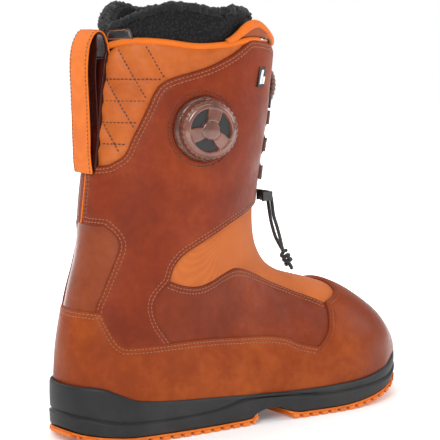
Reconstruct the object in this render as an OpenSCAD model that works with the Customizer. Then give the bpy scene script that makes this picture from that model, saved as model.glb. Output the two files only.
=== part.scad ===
// Snowboard boot for the right foot, with an inner liner, a swinging tongue and two lace dials.
// +X runs from heel to toe, +Z is up, and the outer (lateral) side of the foot faces -Y.
// The origin is on the ground, under the middle of the heel.
//
// The upper is one smooth body, described by the stations below. Leather, lining and liner are
// shells at rising depths under that surface, and each panel is a shell cut to its own outline,
// as seen from the side. The ankle flexes about one axis, from side to side through flex_x, flex_z:
// what lies above the two lines that leave it belongs to the shaft, and the rest to the foot.

/* [Layers] */
// Thickness of the leather panels
leather_t = 2.0; // [1.6:0.1:2.0]
// Thickness of the padded lining behind the leather
lining_t = 3.0; // [2.4:0.2:3.0]
// Thickness of the inner liner
liner_t = 8.0; // [6:0.5:9]
// Gap between neighbouring panels
seam_gap = 0.4; // [0.3:0.1:0.8]

/* [Sole] */
// Height of the outsole's lugs
lug_h = 2.6; // [1.5:0.1:3]
// Thickness of the outsole plate above the lugs
outsole_t = 1.4; // [1:0.1:1.8]
// Distance from one lug bar to the next
lug_pitch = 8.6; // [7:0.2:12]
// Width of a lug bar
lug_w = 5.4; // [4:0.2:6]

/* [Flex and tongue] */
// Forward position of the ankle's flex axis
flex_x = 22; // [21:0.5:23]
// Height of the ankle's flex axis
flex_z = 117; // [116:0.5:118]
// Slope of the flex line behind the axis, in degrees
flex_back_angle = 22; // [21:1:23]
// Half of the gap between the shaft's two front edges
throat_half = 24; // [22:1:26]
// Thickness of the tongue
tongue_t = 4; // [3:0.5:4.5]

/* [Dials] */
// Radius of the side dial's bezel
side_bezel_r = 23; // [21:0.5:24]
// Radius of the side dial's knob, without its grip
side_knob_r = 19; // [17:0.5:20]
// Height of the side dial above the leather
side_dial_h = 16; // [14:0.5:18]
// Radius of the front dial's bezel
front_bezel_r = 18; // [17:0.5:18.5]
// Radius of the front dial's knob, without its grip
front_knob_r = 15.5; // [14:0.5:16]
// Height of the front dial above the tongue
front_dial_h = 14; // [13:0.5:16]
// Number of ribs on a knob's grip
grip_ribs = 30; // [18:2:36]

/* [Straps and cords] */
// Width of the pull loop and of the back stay
strap_w = 23; // [18:1:26]
// Thickness of the pull loop's strap
strap_t = 2.6; // [2:0.2:3]
// Radius of the lace that the front dial winds
lace_r = 0.9; // [0.7:0.1:1]
// Radius of the soft cord at the instep
cord_r = 1.5; // [1.2:0.1:1.8]

/* [Hidden] */

// Stations of the outer surface, from the top of the shaft down, round the heel and on to the toe.
// Each row: front point x, z; back point x, z; half width; where the station is widest, from -1 at
// the back point to 1 at the front point; roundness of its back half; shift towards the outer side.
stations = [
  [136, 316,   0, 316, 54,    0.22, 1.70, 0],
  [130, 258, -10, 258, 55,    0.22, 1.70, 0],
  [125, 216, -15, 212, 55,    0.17, 1.80, 0],
  [121, 186, -20, 168, 52,    0.12, 1.90, 0],
  [121, 162, -26, 126, 48,    0.06, 2.00, 0],
  [124, 143, -36,  88, 45,   -0.02, 2.10, 0],
  [129, 128, -40,  54, 44,   -0.12, 2.30, 0],
  [138, 115, -35,  22, 43.5, -0.20, 2.60, 0],
  [150, 107,   0,  11, 44.5, -0.30, 3.00, 1],
  [166, 102,  65,  11, 46.5, -0.40, 3.60, 2],
  [184,  97, 125,  11, 51,   -0.45, 4.00, 3],
  [203,  90, 180,  11, 54,   -0.45, 4.00, 4],
  [220,  80, 214,  13, 50,   -0.42, 3.60, 4],
  [236,  68, 234,  16, 41,   -0.35, 3.20, 4],
  [247.5, 54, 246.5, 22, 29,  -0.20, 2.60, 4],
  [253,  39, 253,  35,  4,    0.00, 2.00, 4]
];
last_station = len(stations) - 1;
blunt_station = last_station - 1;
front_roundness = 2.25;
rows_per_station = 2;
ring_n = 28;
far = 400;

lining_out = -leather_t - 0.2;
lining_in = lining_out - lining_t;
stiffener_t = 1.3;
board_t = 1.3;
harness_out = lining_in - 0.4;
harness_t = 1.6;
liner_out = lining_in - 2.6;
liner_in = liner_out - liner_t;
liner_toe_x = 238;
flex_open = 15;
flex_room = 4;

// How much further the liner's front lies back from the outer surface, station by station.
liner_setback = [10, 10, 6, 3, 0, 0, 0, 0, 0, 0, 0, 0, 0, 0, 0, 0];
no_setback = [for (s = stations) 0];

// Outline of the sole from above, starting behind the heel and going along the outer side.
sole_outline = [
  [-46, 0], [-43, -16], [-35, -27], [-22, -36.5], [-5, -42], [20, -46], [50, -48.5], [80, -50],
  [110, -53.5], [140, -57], [170, -60], [195, -60.5], [219, -56], [238, -46], [251, -31],
  [257.5, -12], [258.5, 4], [255.5, 20], [247.5, 33], [234.5, 43], [214, 50], [190, 53], [160, 52],
  [130, 50], [100, 47.5], [60, 46], [20, 45], [-5, 42.5], [-22, 36.5], [-35, 27], [-43, 15]
];

// Lines seen from the side, each point x, z.
sole_bottom = [
  [-60, 19], [-46, 10], [-34, 6.5], [-14, 4.4], [-4, 3.9], [15, 3.9], [85, 3.9], [94, 7], [104, 10],
  [116, 10], [125, 6], [134, 4], [141, 3.9], [178, 3.9], [212, 8], [238, 15], [258, 26], [272, 38]
];
wall_top = [
  [-60, 42], [-32, 41], [-18, 36], [-2, 30], [30, 27], [60, 25], [110, 22], [160, 21],
  [200, 23], [228, 29], [248, 38], [272, 46]
];
rim_line = [
  [-50, 262], [-9.5, 268], [-7, 271], [-4.5, 275.5], [-1, 279.3], [6, 281.3], [22, 280.8],
  [44, 277.5], [66, 278.5], [86, 281.5], [112, 285], [160, 287]
];
collar_line = [
  [-50, 190], [-17, 194], [-9, 198], [-4, 203.5], [0, 214], [5, 225], [10, 236], [14, 245],
  [19, 252], [28, 256.5], [40, 260], [54, 264.5], [71, 272.5], [86, 281.5]
];
gusset_top = [
  [flex_x, flex_z], [25, 123], [32, 130.5], [42, 136], [56, 142.5], [75, 150.5], [94, 156.5],
  [110, 161], [160, 173]
];
gusset_low = [
  [22, 112], [31, 109.5], [42, 107], [52, 107], [62, 109.5], [72, 113], [84, 115.3],
  [96, 113.5], [113, 107.5], [139, 96.5], [155, 89.5], [171, 82]
];
toe_edge = [[171, 82], [168.5, 72], [163, 60], [153, 51]];
toe_top_edge = [[171, 82], [184, 86], [192, 92], [196, 112]];
rand_line = [
  [-60, 94], [-26, 93.5], [-22.5, 88], [-19, 78], [-14, 70.5], [-5, 69.3], [27, 69], [57, 68],
  [83, 66], [98, 65], [112, 63.5], [126, 60.5], [138, 55], [153, 51]
];
vamp_rear = [[22, 112], [14, 105.5], [9.5, 98], [10, 90], [14, 81], [24, 68]];
achilles_line = [
  [-60, 152], [-21, 152.5], [-17, 152], [-13.5, 148], [-11, 142], [-11.5, 136], [-15, 126],
  [-19, 116], [-23, 106], [-27, 96], [-29, 80]
];
tongue_top = [
  [62, 284.3], [70, 286.5], [77, 290], [84, 293.4], [93, 295], [112, 295], [160, 293]
];
tongue_foot_z = 167;
head_bottom = [[60, 283.6], [86, 285.6], [112, 289.2], [160, 291]];
liner_top = [
  [-30, 284], [3, 289], [9, 296], [16, 302], [30, 308.5], [45, 307], [62, 304], [76, 306.5],
  [94, 303], [106, 294], [130, 286]
];

// Catmull-Rom curve through a list of points.
function spline_point(p, i, t) =
  let (
    a = p[max(i - 1, 0)],
    b = p[i],
    c = p[min(i + 1, len(p) - 1)],
    d = p[min(i + 2, len(p) - 1)]
  )
  0.5 * (2 * b + (c - a) * t + (2 * a - 5 * b + 4 * c - d) * t * t
         + (3 * b - a - 3 * c + d) * t * t * t);
function curve(p, steps = 3) =
  concat(
    [for (i = [0 : len(p) - 2]) for (k = [0 : steps - 1]) spline_point(p, i, k / steps)],
    [p[len(p) - 1]]
  );
function closed_curve(p, steps = 2) =
  let (n = len(p), wrapped = concat([p[n - 1]], p, [p[0], p[1]]))
  [for (i = [1 : n]) for (k = [0 : steps - 1]) spline_point(wrapped, i, k / steps)];
function reversed(p) = [for (i = [len(p) - 1 : -1 : 0]) p[i]];
function raised(p, dz) = [for (q = p) [q[0], q[1] + dz]];

// Outward direction of the front or back line at a station; the two lines run the same way, so
// their outsides lie on opposite hands.
function line_normal(column, k, last, hand) =
  let (
    a = stations[max(k - 1, 0)],
    b = stations[min(k + 1, last)],
    dx = b[column] - a[column],
    dz = b[column + 1] - a[column + 1]
  )
  hand * [-dz, dx] / norm([dx, dz]);
function moved_station(k, depth, setback, last) =
  let (
    s = stations[k],
    f = [s[0], s[1]] + (depth - setback[k]) * line_normal(0, k, last_station, 1),
    b = [s[2], s[3]] + depth * line_normal(2, k, last_station, -1)
  )
  [f[0], f[1], b[0], b[1], s[4] + depth, s[5], s[6], s[7]];
function power(v, e) = sign(v) * pow(abs(v), e);
function ring_point(s, angle) =
  let (
    c = cos(angle),
    r = c >= 0 ? front_roundness : s[6],
    along = c >= 0 ? s[5] + (1 - s[5]) * power(c, 2 / r) : s[5] + (1 + s[5]) * power(c, 2 / r),
    across = s[4] * power(sin(angle), 2 / r) + s[7]
  )
  [
    (s[0] + s[2]) / 2 + (s[0] - s[2]) / 2 * along,
    -across,
    (s[1] + s[3]) / 2 + (s[1] - s[3]) / 2 * along
  ];

// The solid inside the outer surface moved out by depth, from the top down to station last.
module body_solid(depth, last = last_station, setback = no_setback) {
  moved = [for (k = [0 : last]) moved_station(k, depth, setback, last)];
  rows = curve(moved, rows_per_station);
  rings = [for (s = rows) [for (j = [0 : ring_n - 1]) ring_point(s, j * 360 / ring_n)]];
  top_centre = [for (a = [0 : 2]) (rings[0][0][a] + rings[0][ring_n / 2][a]) / 2];
  end_ring = rings[len(rings) - 1];
  end_centre = [for (a = [0 : 2]) (end_ring[0][a] + end_ring[ring_n / 2][a]) / 2];
  body_points = [for (ring = rings) for (p = ring) p];
  top_index = len(body_points);
  end_start = (len(rings) - 1) * ring_n;
  polyhedron(
    points = concat(body_points, [top_centre, end_centre]),
    faces = concat(
      [for (i = [0 : len(rings) - 2]) for (j = [0 : ring_n - 1])
        let (k = (j + 1) % ring_n, a = i * ring_n)
        for (f = [[a + j, a + ring_n + j, a + k], [a + k, a + ring_n + j, a + ring_n + k]]) f],
      [for (j = [0 : ring_n - 1]) [top_index, j, (j + 1) % ring_n]],
      [for (j = [0 : ring_n - 1])
        [top_index + 1, end_start + (j + 1) % ring_n, end_start + j]]
    )
  );
}

// The layer between two depths. Thick layers end bluntly at the toe on their inside.
module shell(outer, inner) {
  difference() {
    body_solid(outer);
    body_solid(inner, inner < -3 ? blunt_station : last_station);
  }
}

// A flat outline seen from the side, as a block across the boot from y0 to y1.
module across(y0 = -90, y1 = 90) {
  translate([0, y1, 0])
    rotate([90, 0, 0])
      linear_extrude(y1 - y0) children();
}

// Keeps one side of the boot: side -1 is the outer side and side 1 the inner side.
module keep_side(side) {
  intersection() {
    children();
    translate([-far / 2, side > 0 ? seam_gap / 2 : -far, -far / 2]) cube([2 * far, far, 2 * far]);
  }
}

module throat_block(half) {
  translate([60, -half, 100]) cube([200, 2 * half, 300]);
}

// Point on the flex line behind the axis.
function flex_back(x) = [x, flex_z - tan(flex_back_angle) * (flex_x - x)];
function from_axis(angle, r) = [flex_x + r * cos(angle), flex_z + r * sin(angle)];

module shaft_area() {
  polygon(concat(
    [flex_back(-70)],
    curve(gusset_top),
    [[160, 330], [-70, 330]]
  ));
}
module collar_area() {
  polygon(concat(curve(collar_line), [[86, 330], [-50, 330]]));
}
module achilles_area() {
  polygon(concat(curve(achilles_line), [[-60, 80]]));
}
module below_rim(drop) {
  polygon(concat(curve(raised(rim_line, -drop)), [[160, 0], [-50, 0]]));
}
module ankle_area() {
  polygon(concat(
    [flex_back(-70), [flex_x, flex_z - 0.6]],
    curve(vamp_rear),
    [[24, 40], [-70, 40]]
  ));
}
module rand_area() {
  polygon(concat(
    curve(rand_line),
    curve(reversed(toe_edge)),
    curve(toe_top_edge),
    [[300, 112], [300, 0], [-60, 0]]
  ));
}
module vamp_area() {
  polygon(concat(
    curve(gusset_low),
    curve(toe_edge),
    [[153, 40], [24, 40]],
    curve(reversed(vamp_rear))
  ));
}
module gusset_area() {
  polygon(concat(
    curve(gusset_top),
    [[200, 173], [196, 112]],
    curve(reversed(toe_top_edge)),
    curve(reversed(gusset_low))
  ));
}
module shrunk() {
  offset(delta = -seam_gap / 2) children();
}

// The padded layers are parted along straight lines through the flex axis. The front opening lets
// the shaft lean forward, and the line behind the axis opens as it does.
module above_flex(front_angle) {
  polygon([
    flex_back(-90), [flex_x, flex_z + seam_gap], from_axis(front_angle, 160),
    [190, 340], [-90, 340]
  ]);
}
module below_flex(front_angle) {
  polygon([
    flex_back(-90) - [0, seam_gap], [flex_x, flex_z - seam_gap], from_axis(front_angle, 190),
    [300, 100], [300, -10], [-90, -10]
  ]);
}
shaft_front_angle = flex_open + flex_room + 5;
foot_front_angle = 4;

module heel_counter_area() {
  polygon(curve([[-60, 20], [28, 24], [22, 46], [4, 72], [-20, 86], [-60, 86], [-60, 20]], 2));
}
module toe_puff_area() {
  polygon([[196, 26], [280, 26], [280, 110], [204, 110]]);
}
// A stiff sheet between leather and lining, from the top of the sole's cup upwards.
module stiffener(depth) {
  difference() {
    body_solid(lining_out - 0.1);
    body_solid(lining_out - 0.1 - depth);
    translate([-100, -100, -100]) cube([400, 200, 124]);
  }
}

// ---- Sole ----

module sole_plan(inset) {
  linear_extrude(80) offset(delta = -inset) polygon(closed_curve(sole_outline));
}
module sole_band(low, high) {
  across() polygon(concat(curve(raised(sole_bottom, low)), reversed(curve(raised(sole_bottom, high)))));
}
// Two grooves run along the outsole, between the inner and outer thirds of its bars.
groove_y = [-18, 13];
groove_w = 5;
module lug_bars(x0, x1) {
  for (x = [x0 : lug_pitch : x1]) {
    translate([x, -90, -5]) cube([lug_w, 180, 60]);
  }
}
module outsole(x0, x1, bars_x0) {
  color("#e8832a")
  intersection() {
    union() {
      intersection() {
        sole_plan(1.5);
        sole_band(-outsole_t - 0.05, -0.05);
      }
      difference() {
        intersection() {
          sole_plan(0.5);
          sole_band(-outsole_t - lug_h, -outsole_t - 0.05);
          lug_bars(bars_x0, x1);
        }
        for (y = groove_y) {
          translate([x0 - 10, y, -5]) cube([x1 - x0 + 20, groove_w, 60]);
        }
      }
    }
    translate([x0, -90, -10]) cube([x1 - x0, 180, 80]);
  }
}
module heel_outsole() {
  outsole(-60, 96, -45.7);
}
module forefoot_outsole() {
  outsole(124, 270, 127);
}
module shank_pocket(grow) {
  translate([2 - grow, -16 - grow, 8.4 - grow]) cube([112 + 2 * grow, 30 + 2 * grow, 6]);
}
module midsole() {
  color("#3b3f42")
  difference() {
    intersection() {
      sole_plan(0);
      across() polygon(concat(curve(sole_bottom), reversed(curve(wall_top))));
    }
    body_solid(0.4);
    shank_pocket(0.2);
  }
}
module shank() {
  color("#8a8d90")
  intersection() {
    shank_pocket(0);
    translate([0, -30, 0]) cube([120, 60, 10.2]);
  }
}
module lasting_board() {
  color("#b9a27c")
  intersection() {
    body_solid(lining_in - 0.4, blunt_station);
    translate([-24, -60, 11 - lining_in + 0.4]) cube([226, 120, board_t]);
  }
}

// ---- Foot ----

module foot_lining() {
  color("#4a4443")
  difference() {
    intersection() {
      shell(lining_out, lining_in);
      across() below_flex(foot_front_angle);
    }
    difference() {
      across() offset(delta = 0.4) heel_counter_area();
      body_solid(lining_out - 0.2 - stiffener_t);
    }
    difference() {
      across() offset(delta = 0.4) toe_puff_area();
      body_solid(lining_out - 0.2 - stiffener_t);
    }
  }
}
module heel_counter() {
  color("#cfc9bd")
  intersection() {
    stiffener(stiffener_t - 0.1);
    across() heel_counter_area();
  }
}
module toe_puff() {
  color("#cfc9bd")
  intersection() {
    stiffener(stiffener_t - 0.1);
    across() toe_puff_area();
  }
}
// One leather panel: the outermost layer, cut to an outline seen from the side.
module leather() {
  intersection() {
    shell(0, -leather_t);
    across() shrunk() children();
  }
}
module toe_rand() {
  color("#a8552c") leather() rand_area();
}
module vamp_panel_area() {
  difference() {
    vamp_area();
    rand_area();
  }
}
module vamp_lateral() {
  color("#83402a") keep_side(-1) leather() vamp_panel_area();
}
module vamp_medial() {
  color("#83402a") keep_side(1) leather() vamp_panel_area();
}
module ankle_panel_area() {
  difference() {
    ankle_area();
    rand_area();
  }
}
module ankle_lateral() {
  color("#7a3a28") keep_side(-1) leather() ankle_panel_area();
}
module ankle_medial() {
  color("#7a3a28") keep_side(1) leather() ankle_panel_area();
}
module ankle_gusset() {
  color("#c8713f") leather() gusset_area();
}
// The liner, closed in front by a toe wall as thick as its sides.
module liner_shell() {
  difference() {
    body_solid(liner_out, blunt_station, liner_setback);
    body_solid(liner_in, blunt_station, liner_setback);
    translate([liner_toe_x, -90, 0]) cube([90, 180, 120]);
  }
  intersection() {
    body_solid(liner_out, blunt_station, liner_setback);
    translate([liner_toe_x - liner_t, -90, 0]) cube([liner_t, 180, 120]);
  }
}
module liner_boot() {
  color("#222226")
  intersection() {
    liner_shell();
    across() below_flex(foot_front_angle);
  }
}
module liner_flex() {
  color("#2c2c30")
  intersection() {
    liner_shell();
    across() polygon([
      from_axis(foot_front_angle + 1, 8), from_axis(foot_front_angle + 1, 190),
      from_axis(shaft_front_angle - 1, 160), from_axis(shaft_front_angle - 1, 8)
    ]);
  }
}
module footbed() {
  color("#3f5d73")
  intersection() {
    body_solid(liner_in - 0.6, blunt_station);
    translate([-20, -60, 11 - liner_in + 0.8]) cube([216, 120, 4]);
  }
}

// ---- Shaft ----

module shaft_panel_area() {
  difference() {
    shaft_area();
    collar_area();
    achilles_area();
  }
}
module shaft_panel(side) {
  difference() {
    keep_side(side) leather() intersection() {
      shaft_panel_area();
      below_rim(2.6);
    }
    throat_block(throat_half);
  }
}
module shaft_lateral() {
  color("#7d3b29")
  difference() {
    shaft_panel(-1);
    at_side_dial() translate([0, 0, -10]) cylinder(h = 30, r = side_bezel_r + 0.4, $fn = 48);
  }
}
module shaft_medial() {
  color("#7d3b29") shaft_panel(1);
}
collar_pad = 0.6;
module quilted_collar() {
  color("#c06a38")
  intersection() {
    shell(collar_pad, -leather_t);
    across() shrunk() intersection() {
      collar_area();
      below_rim(2.6);
    }
  }
}
module achilles_panel() {
  color("#8a4a30") leather() intersection() {
    achilles_area();
    shaft_area();
  }
}
// The pull loop and the strip behind it are centred on the back seam.
strap_y = 3.5;
module back_stay() {
  color("#6b2f22")
  intersection() {
    shell(collar_pad + 1.6, collar_pad + 0.2);
    translate([-60, strap_y - strap_w / 2, 190]) cube([70, strap_w, 74]);
  }
}
module shaft_lining() {
  color("#4a4443")
  difference() {
    intersection() {
      shell(lining_out, lining_in);
      across() above_flex(shaft_front_angle);
      across() below_rim(2.6);
    }
    throat_block(throat_half);
    cable_run(1.1);
    piping_tube(piping_r + 0.3);
  }
}
module liner_cuff() {
  color("#222226")
  intersection() {
    liner_shell();
    across() above_flex(shaft_front_angle);
    across() polygon(concat(curve(liner_top), [[190, 280], [190, 60], [-60, 60]]));
  }
}

// Point of the surface at a given height, on the side given by across, from -1 (outer) to 1.
function surface_at(z, y, depth) =
  let (
    k = [for (i = [0 : 3]) if (stations[i][1] >= z && stations[i + 1][1] < z) i][0],
    t = (stations[k][1] - z) / (stations[k][1] - stations[k + 1][1]),
    s = stations[k] * (1 - t) + stations[k + 1] * t,
    s_y = power(abs(y) / s[4], front_roundness / 2),
    along = s[5] + (1 - s[5]) * pow(sqrt(1 - s_y * s_y), 2 / front_roundness)
  )
  [(s[0] + s[2]) / 2 + (s[0] - s[2]) / 2 * along + depth, y, z];

// ---- Tubes ----

function unit(v) = v / norm(v);
function path_direction(p, i) = unit(p[min(i + 1, len(p) - 1)] - p[max(i - 1, 0)]);
// A round tube along a list of points; its rings are turned from a fixed side direction.
module tube(path, r, side_hint = [0, 0, 1], sides = 8) {
  rings = [
    for (i = [0 : len(path) - 1])
      let (
        d = path_direction(path, i),
        u = unit(cross(d, side_hint)),
        v = cross(d, u)
      )
      for (j = [0 : sides - 1])
        path[i] + r * (cos(j * 360 / sides) * u + sin(j * 360 / sides) * v)
  ];
  n = len(path);
  polyhedron(
    points = rings,
    faces = concat(
      [[for (j = [0 : sides - 1]) j]],
      [[for (j = [sides - 1 : -1 : 0]) (n - 1) * sides + j]],
      [for (i = [0 : n - 2]) for (j = [0 : sides - 1])
        let (k = (j + 1) % sides, a = i * sides)
        for (f = [[a + j, a + sides + j, a + k], [a + k, a + sides + j, a + sides + k]]) f]
    )
  );
}

// ---- Collar trim and pull loop ----

piping_r = 2.1;
piping_depth = -2.4;
piping_from = 26;
function rim_z(x) =
  let (
    k = [for (i = [0 : len(rim_line) - 2]) if (rim_line[i][0] <= x && rim_line[i + 1][0] > x) i][0],
    t = (x - rim_line[k][0]) / (rim_line[k + 1][0] - rim_line[k][0])
  )
  spline_point(rim_line, k, t)[1];
module piping_tube(r) {
  s = moved_station(1, piping_depth, no_setback, last_station);
  t = moved_station(0, piping_depth, no_setback, last_station);
  share = (280 - s[1]) / (t[1] - s[1]);
  ring = s * (1 - share) + t * share;
  path = [
    for (a = [78 : 7.5 : 282])
      let (p = ring_point(ring, a))
      [p[0], p[1], rim_z(p[0]) - 0.1]
  ];
  tube(path, r);
}
module collar_piping() {
  color("#e8832a") piping_tube(piping_r);
}

// Middle line of the pull loop's strap, from its seam on the back, up, over and down to the rim.
loop_line = [
  [-21.6, 189], [-21.4, 196], [-21, 205], [-20.8, 215], [-20.8, 240], [-21.6, 262], [-20.2, 276],
  [-16.8, 284], [-12.8, 287.2], [-8.6, 285.2], [-6.2, 279], [-5.2, 270]
];
function side_normal(p, i) =
  let (d = unit(p[min(i + 1, len(p) - 1)] - p[max(i - 1, 0)]))
  [d[1], -d[0]];
module strap_outline(line, thickness) {
  polygon(concat(
    [for (i = [0 : len(line) - 1]) line[i] + thickness / 2 * side_normal(line, i)],
    [for (i = [len(line) - 1 : -1 : 0]) line[i] - thickness / 2 * side_normal(line, i)]
  ));
}
module pull_loop() {
  color("#ee8226")
  difference() {
    across(strap_y - strap_w / 2, strap_y + strap_w / 2) strap_outline(curve(loop_line), strap_t);
    intersection() {
      body_solid(collar_pad + 1.8);
      across() below_rim(-2.4);
    }
    piping_tube(piping_r + 0.3);
  }
}

// ---- Dials ----

spool_bore_clearance = 0.05;
screw_r = 2;
side_dial_place = [45, -52.2, 220];
side_dial_turn = [90, 0, -17];
front_dial_place = [128.9, 0, 246];
front_dial_turn = [0, 96.8, 0];
module at_side_dial() {
  translate(side_dial_place) rotate(side_dial_turn) children();
}
module at_front_dial() {
  translate(front_dial_place) rotate(front_dial_turn) children();
}
module dial_housing(bezel_r, floor_z) {
  difference() {
    union() {
      translate([0, 0, floor_z]) cylinder(h = 5.2 - floor_z, r = bezel_r, $fn = 64);
      translate([0, 0, 5.1]) cylinder(h = 0.7, r1 = bezel_r - 0.2, r2 = bezel_r - 1.4, $fn = 64);
    }
    translate([0, 0, 1.6]) cylinder(h = 10, r = bezel_r - 6, $fn = 64);
    translate([0, 0, floor_z - 1]) cylinder(h = 10, r = screw_r + 0.02, $fn = 32);
  }
}
module dial_screw(floor_z) {
  translate([0, 0, floor_z]) cylinder(h = 8 - floor_z, r = screw_r, $fn = 32);
  translate([0, 0, 7.6]) cylinder(h = 1.4, r = 3.4, $fn = 32);
}
module dial_spool(bezel_r) {
  r = bezel_r - 8;
  difference() {
    union() {
      translate([0, 0, 1.9]) cylinder(h = 1, r = r, $fn = 48);
      translate([0, 0, 2.8]) cylinder(h = 2.2, r = r - 3, $fn = 48);
      translate([0, 0, 4.9]) cylinder(h = 0.9, r = r, $fn = 48);
      translate([0, 0, 5.7]) cylinder(h = 1.6, r = 6, $fn = 48);
    }
    cylinder(h = 20, r = screw_r + spool_bore_clearance, $fn = 48);
  }
}
module dial_knob(knob_r, height) {
  cap = 3;
  difference() {
    union() {
      translate([0, 0, 6.3]) cylinder(h = height - 6.3 - cap, r = knob_r, $fn = 64);
      translate([0, 0, height - cap - 0.05])
        cylinder(h = cap + 0.05, r1 = knob_r, r2 = knob_r - 4, $fn = 64);
    }
    translate([0, 0, 5]) cylinder(h = height - cap - 5, r = knob_r - 2.4, $fn = 64);
    for (a = [30 : 120 : 359]) {
      rotate([0, 0, a]) translate([knob_r * 0.52, 0, height - cap - 1])
        cylinder(h = 10, r = knob_r * 0.2, $fn = 32);
    }
  }
  translate([0, 0, 9.6]) cylinder(h = height - 9.6 - 1, r = 4, $fn = 32);
}
module dial_grip(knob_r, height) {
  rib_steps = 4;
  n = grip_ribs * rib_steps;
  difference() {
    translate([0, 0, 6.6]) linear_extrude(height - 10.4) polygon([
      for (i = [0 : n - 1])
        let (a = i * 360 / n, r = knob_r + (i % rib_steps < rib_steps / 2 ? 1.8 : 1.2))
        [r * cos(a), r * sin(a)]
    ]);
    translate([0, 0, 5]) cylinder(h = 20, r = knob_r + 0.02, $fn = 64);
  }
}
module side_dial_housing() {
  color("#8a5a42") at_side_dial() dial_housing(side_bezel_r, -1.5);
}
module side_dial_screw() {
  color("#b0b3b5") at_side_dial() dial_screw(-1.5);
}
module side_spool() {
  color("#2b2b2d") at_side_dial() dial_spool(side_bezel_r);
}
module side_knob() {
  color("#7c4a38") at_side_dial() dial_knob(side_knob_r, side_dial_h);
}
module side_knob_grip() {
  color("#6a3b2c") at_side_dial() dial_grip(side_knob_r, side_dial_h);
}
module front_dial_housing() {
  color("#8a5a42") at_front_dial() dial_housing(front_bezel_r, 0.4);
}
module front_dial_screw() {
  color("#b0b3b5") at_front_dial() dial_screw(0.4);
}
module front_spool() {
  color("#2b2b2d") at_front_dial() dial_spool(front_bezel_r);
}
module front_knob() {
  color("#7c4a38") at_front_dial() dial_knob(front_knob_r, front_dial_h);
}
module front_knob_grip() {
  color("#6a3b2c") at_front_dial() dial_grip(front_knob_r, front_dial_h);
}

// ---- Tongue ----

module tongue() {
  color("#8a452c")
  intersection() {
    shell(0, -tongue_t);
    translate([68, -90, tongue_foot_z]) cube([100, 180, 200]);
    union() {
      translate([90, -throat_half + 1.5, 100]) cube([60, 2 * throat_half - 3, 220]);
      across() polygon(concat(curve(head_bottom), [[160, 330], [60, 330]]));
    }
    across() polygon(concat(curve(raised(tongue_top, -3.4)), [[160, 150], [62, 150]]));
  }
}
module tongue_binding() {
  color("#ee8226")
  intersection() {
    shell(0.8, -tongue_t - 1);
    across() polygon(concat(
      curve(raised(tongue_top, -3)),
      curve(reversed(tongue_top))
    ));
    translate([66, -90, 200]) cube([100, 180, 200]);
  }
}

// ---- Laces, harness and small pieces ----

guide_heights = [224, 204, 184];
guide_y = 31;
guide_turn = 36;
module at_guide(z, side) {
  p = surface_at(z, guide_y, 0);
  translate([p[0], side * p[1], p[2]]) rotate([0, 0, side * guide_turn]) rotate([0, 96, 0]) children();
}
guide_lift = 3.5;
module lace_guides() {
  color("#5a2c20")
  for (z = guide_heights) for (side = [-1, 1]) at_guide(z, side) {
    difference() {
      union() {
        translate([-6, -4, 0.8]) cube([12, 8, 1.4]);
        translate([-5, 0, guide_lift]) rotate([0, 90, 0]) cylinder(h = 10, r = 2.6, $fn = 32);
      }
      translate([-8, 0, guide_lift]) rotate([0, 90, 0]) cylinder(h = 16, r = 1.4, $fn = 32);
      translate([-20, -20, -8.8]) cube([40, 40, 9.4]);
    }
  }
}
// Where the lace passes a guide: slightly in front of the leather, above or below the guide.
function lace_at(z, side) =
  let (p = surface_at(z, guide_y, 0))
  [p[0] + guide_lift * cos(guide_turn), side * (p[1] + guide_lift * sin(guide_turn)), z];
// Two laces cross in front of the tongue: parted in height on the way, one over the other in the
// middle.
lace_part = 2;
function lace_crossing(z, side) = [
  surface_at(z + lace_part, side * 17, 2.6),
  surface_at(z, 0, 3.4 + side * 1.1),
  surface_at(z - lace_part, -side * 17, 2.6)
];
function lace_path(side) = concat(
  [[136, side * 18.6, 238]],
  [lace_at(231.5, side), lace_at(216.5, side)],
  lace_crossing(214, side),
  [lace_at(211.5, -side), lace_at(196.5, -side)],
  lace_crossing(194, -side),
  [lace_at(191.5, side), lace_at(176, side)]
);
module front_lace() {
  color("#2a2a2c")
  for (side = [-1, 1]) tube(lace_path(side), lace_r, [1, 0, 0], 8);
}
module ankle_harness() {
  color("#5b5e60")
  intersection() {
    difference() {
      body_solid(harness_out, blunt_station);
      body_solid(harness_out - harness_t, blunt_station);
    }
    across() polygon([[0, 130], [14, 126], [52, 150], [150, 178], [150, 204], [46, 174], [2, 150]]);
    union() {
      translate([-60, -90, 0]) cube([180, 70, 300]);
      translate([-60, 20, 0]) cube([180, 70, 300]);
    }
  }
}
// The cable runs inside the lining, from the side dial down to the harness.
cable_depth = lining_out - 1.4;
module cable_run(r) {
  top = side_dial_place - [0, cable_depth, 4];
  low = top + [0, 2.6, -42];
  tube([top, low], r, [1, 0, 0], 12);
}
module harness_cable() {
  color("#9aa0a4") cable_run(0.7);
}
badge_place = [96, -52.2, 255];
badge_turn = [90, 0, 18.6];
module collar_badge() {
  color("#1b1b1b")
  translate(badge_place) rotate(badge_turn)
    linear_extrude(1.2) polygon([[-5.5, -7], [2.5, -7], [5.5, 7], [-2.5, 7]]);
}
label_place = [12, -26.5, 289.5];
label_turn = [90, 0, -52];
module liner_label() {
  color("#141416")
  translate(label_place) rotate(label_turn)
    translate([-9, -4.5, 0]) cube([18, 9, 0.8]);
}

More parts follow.
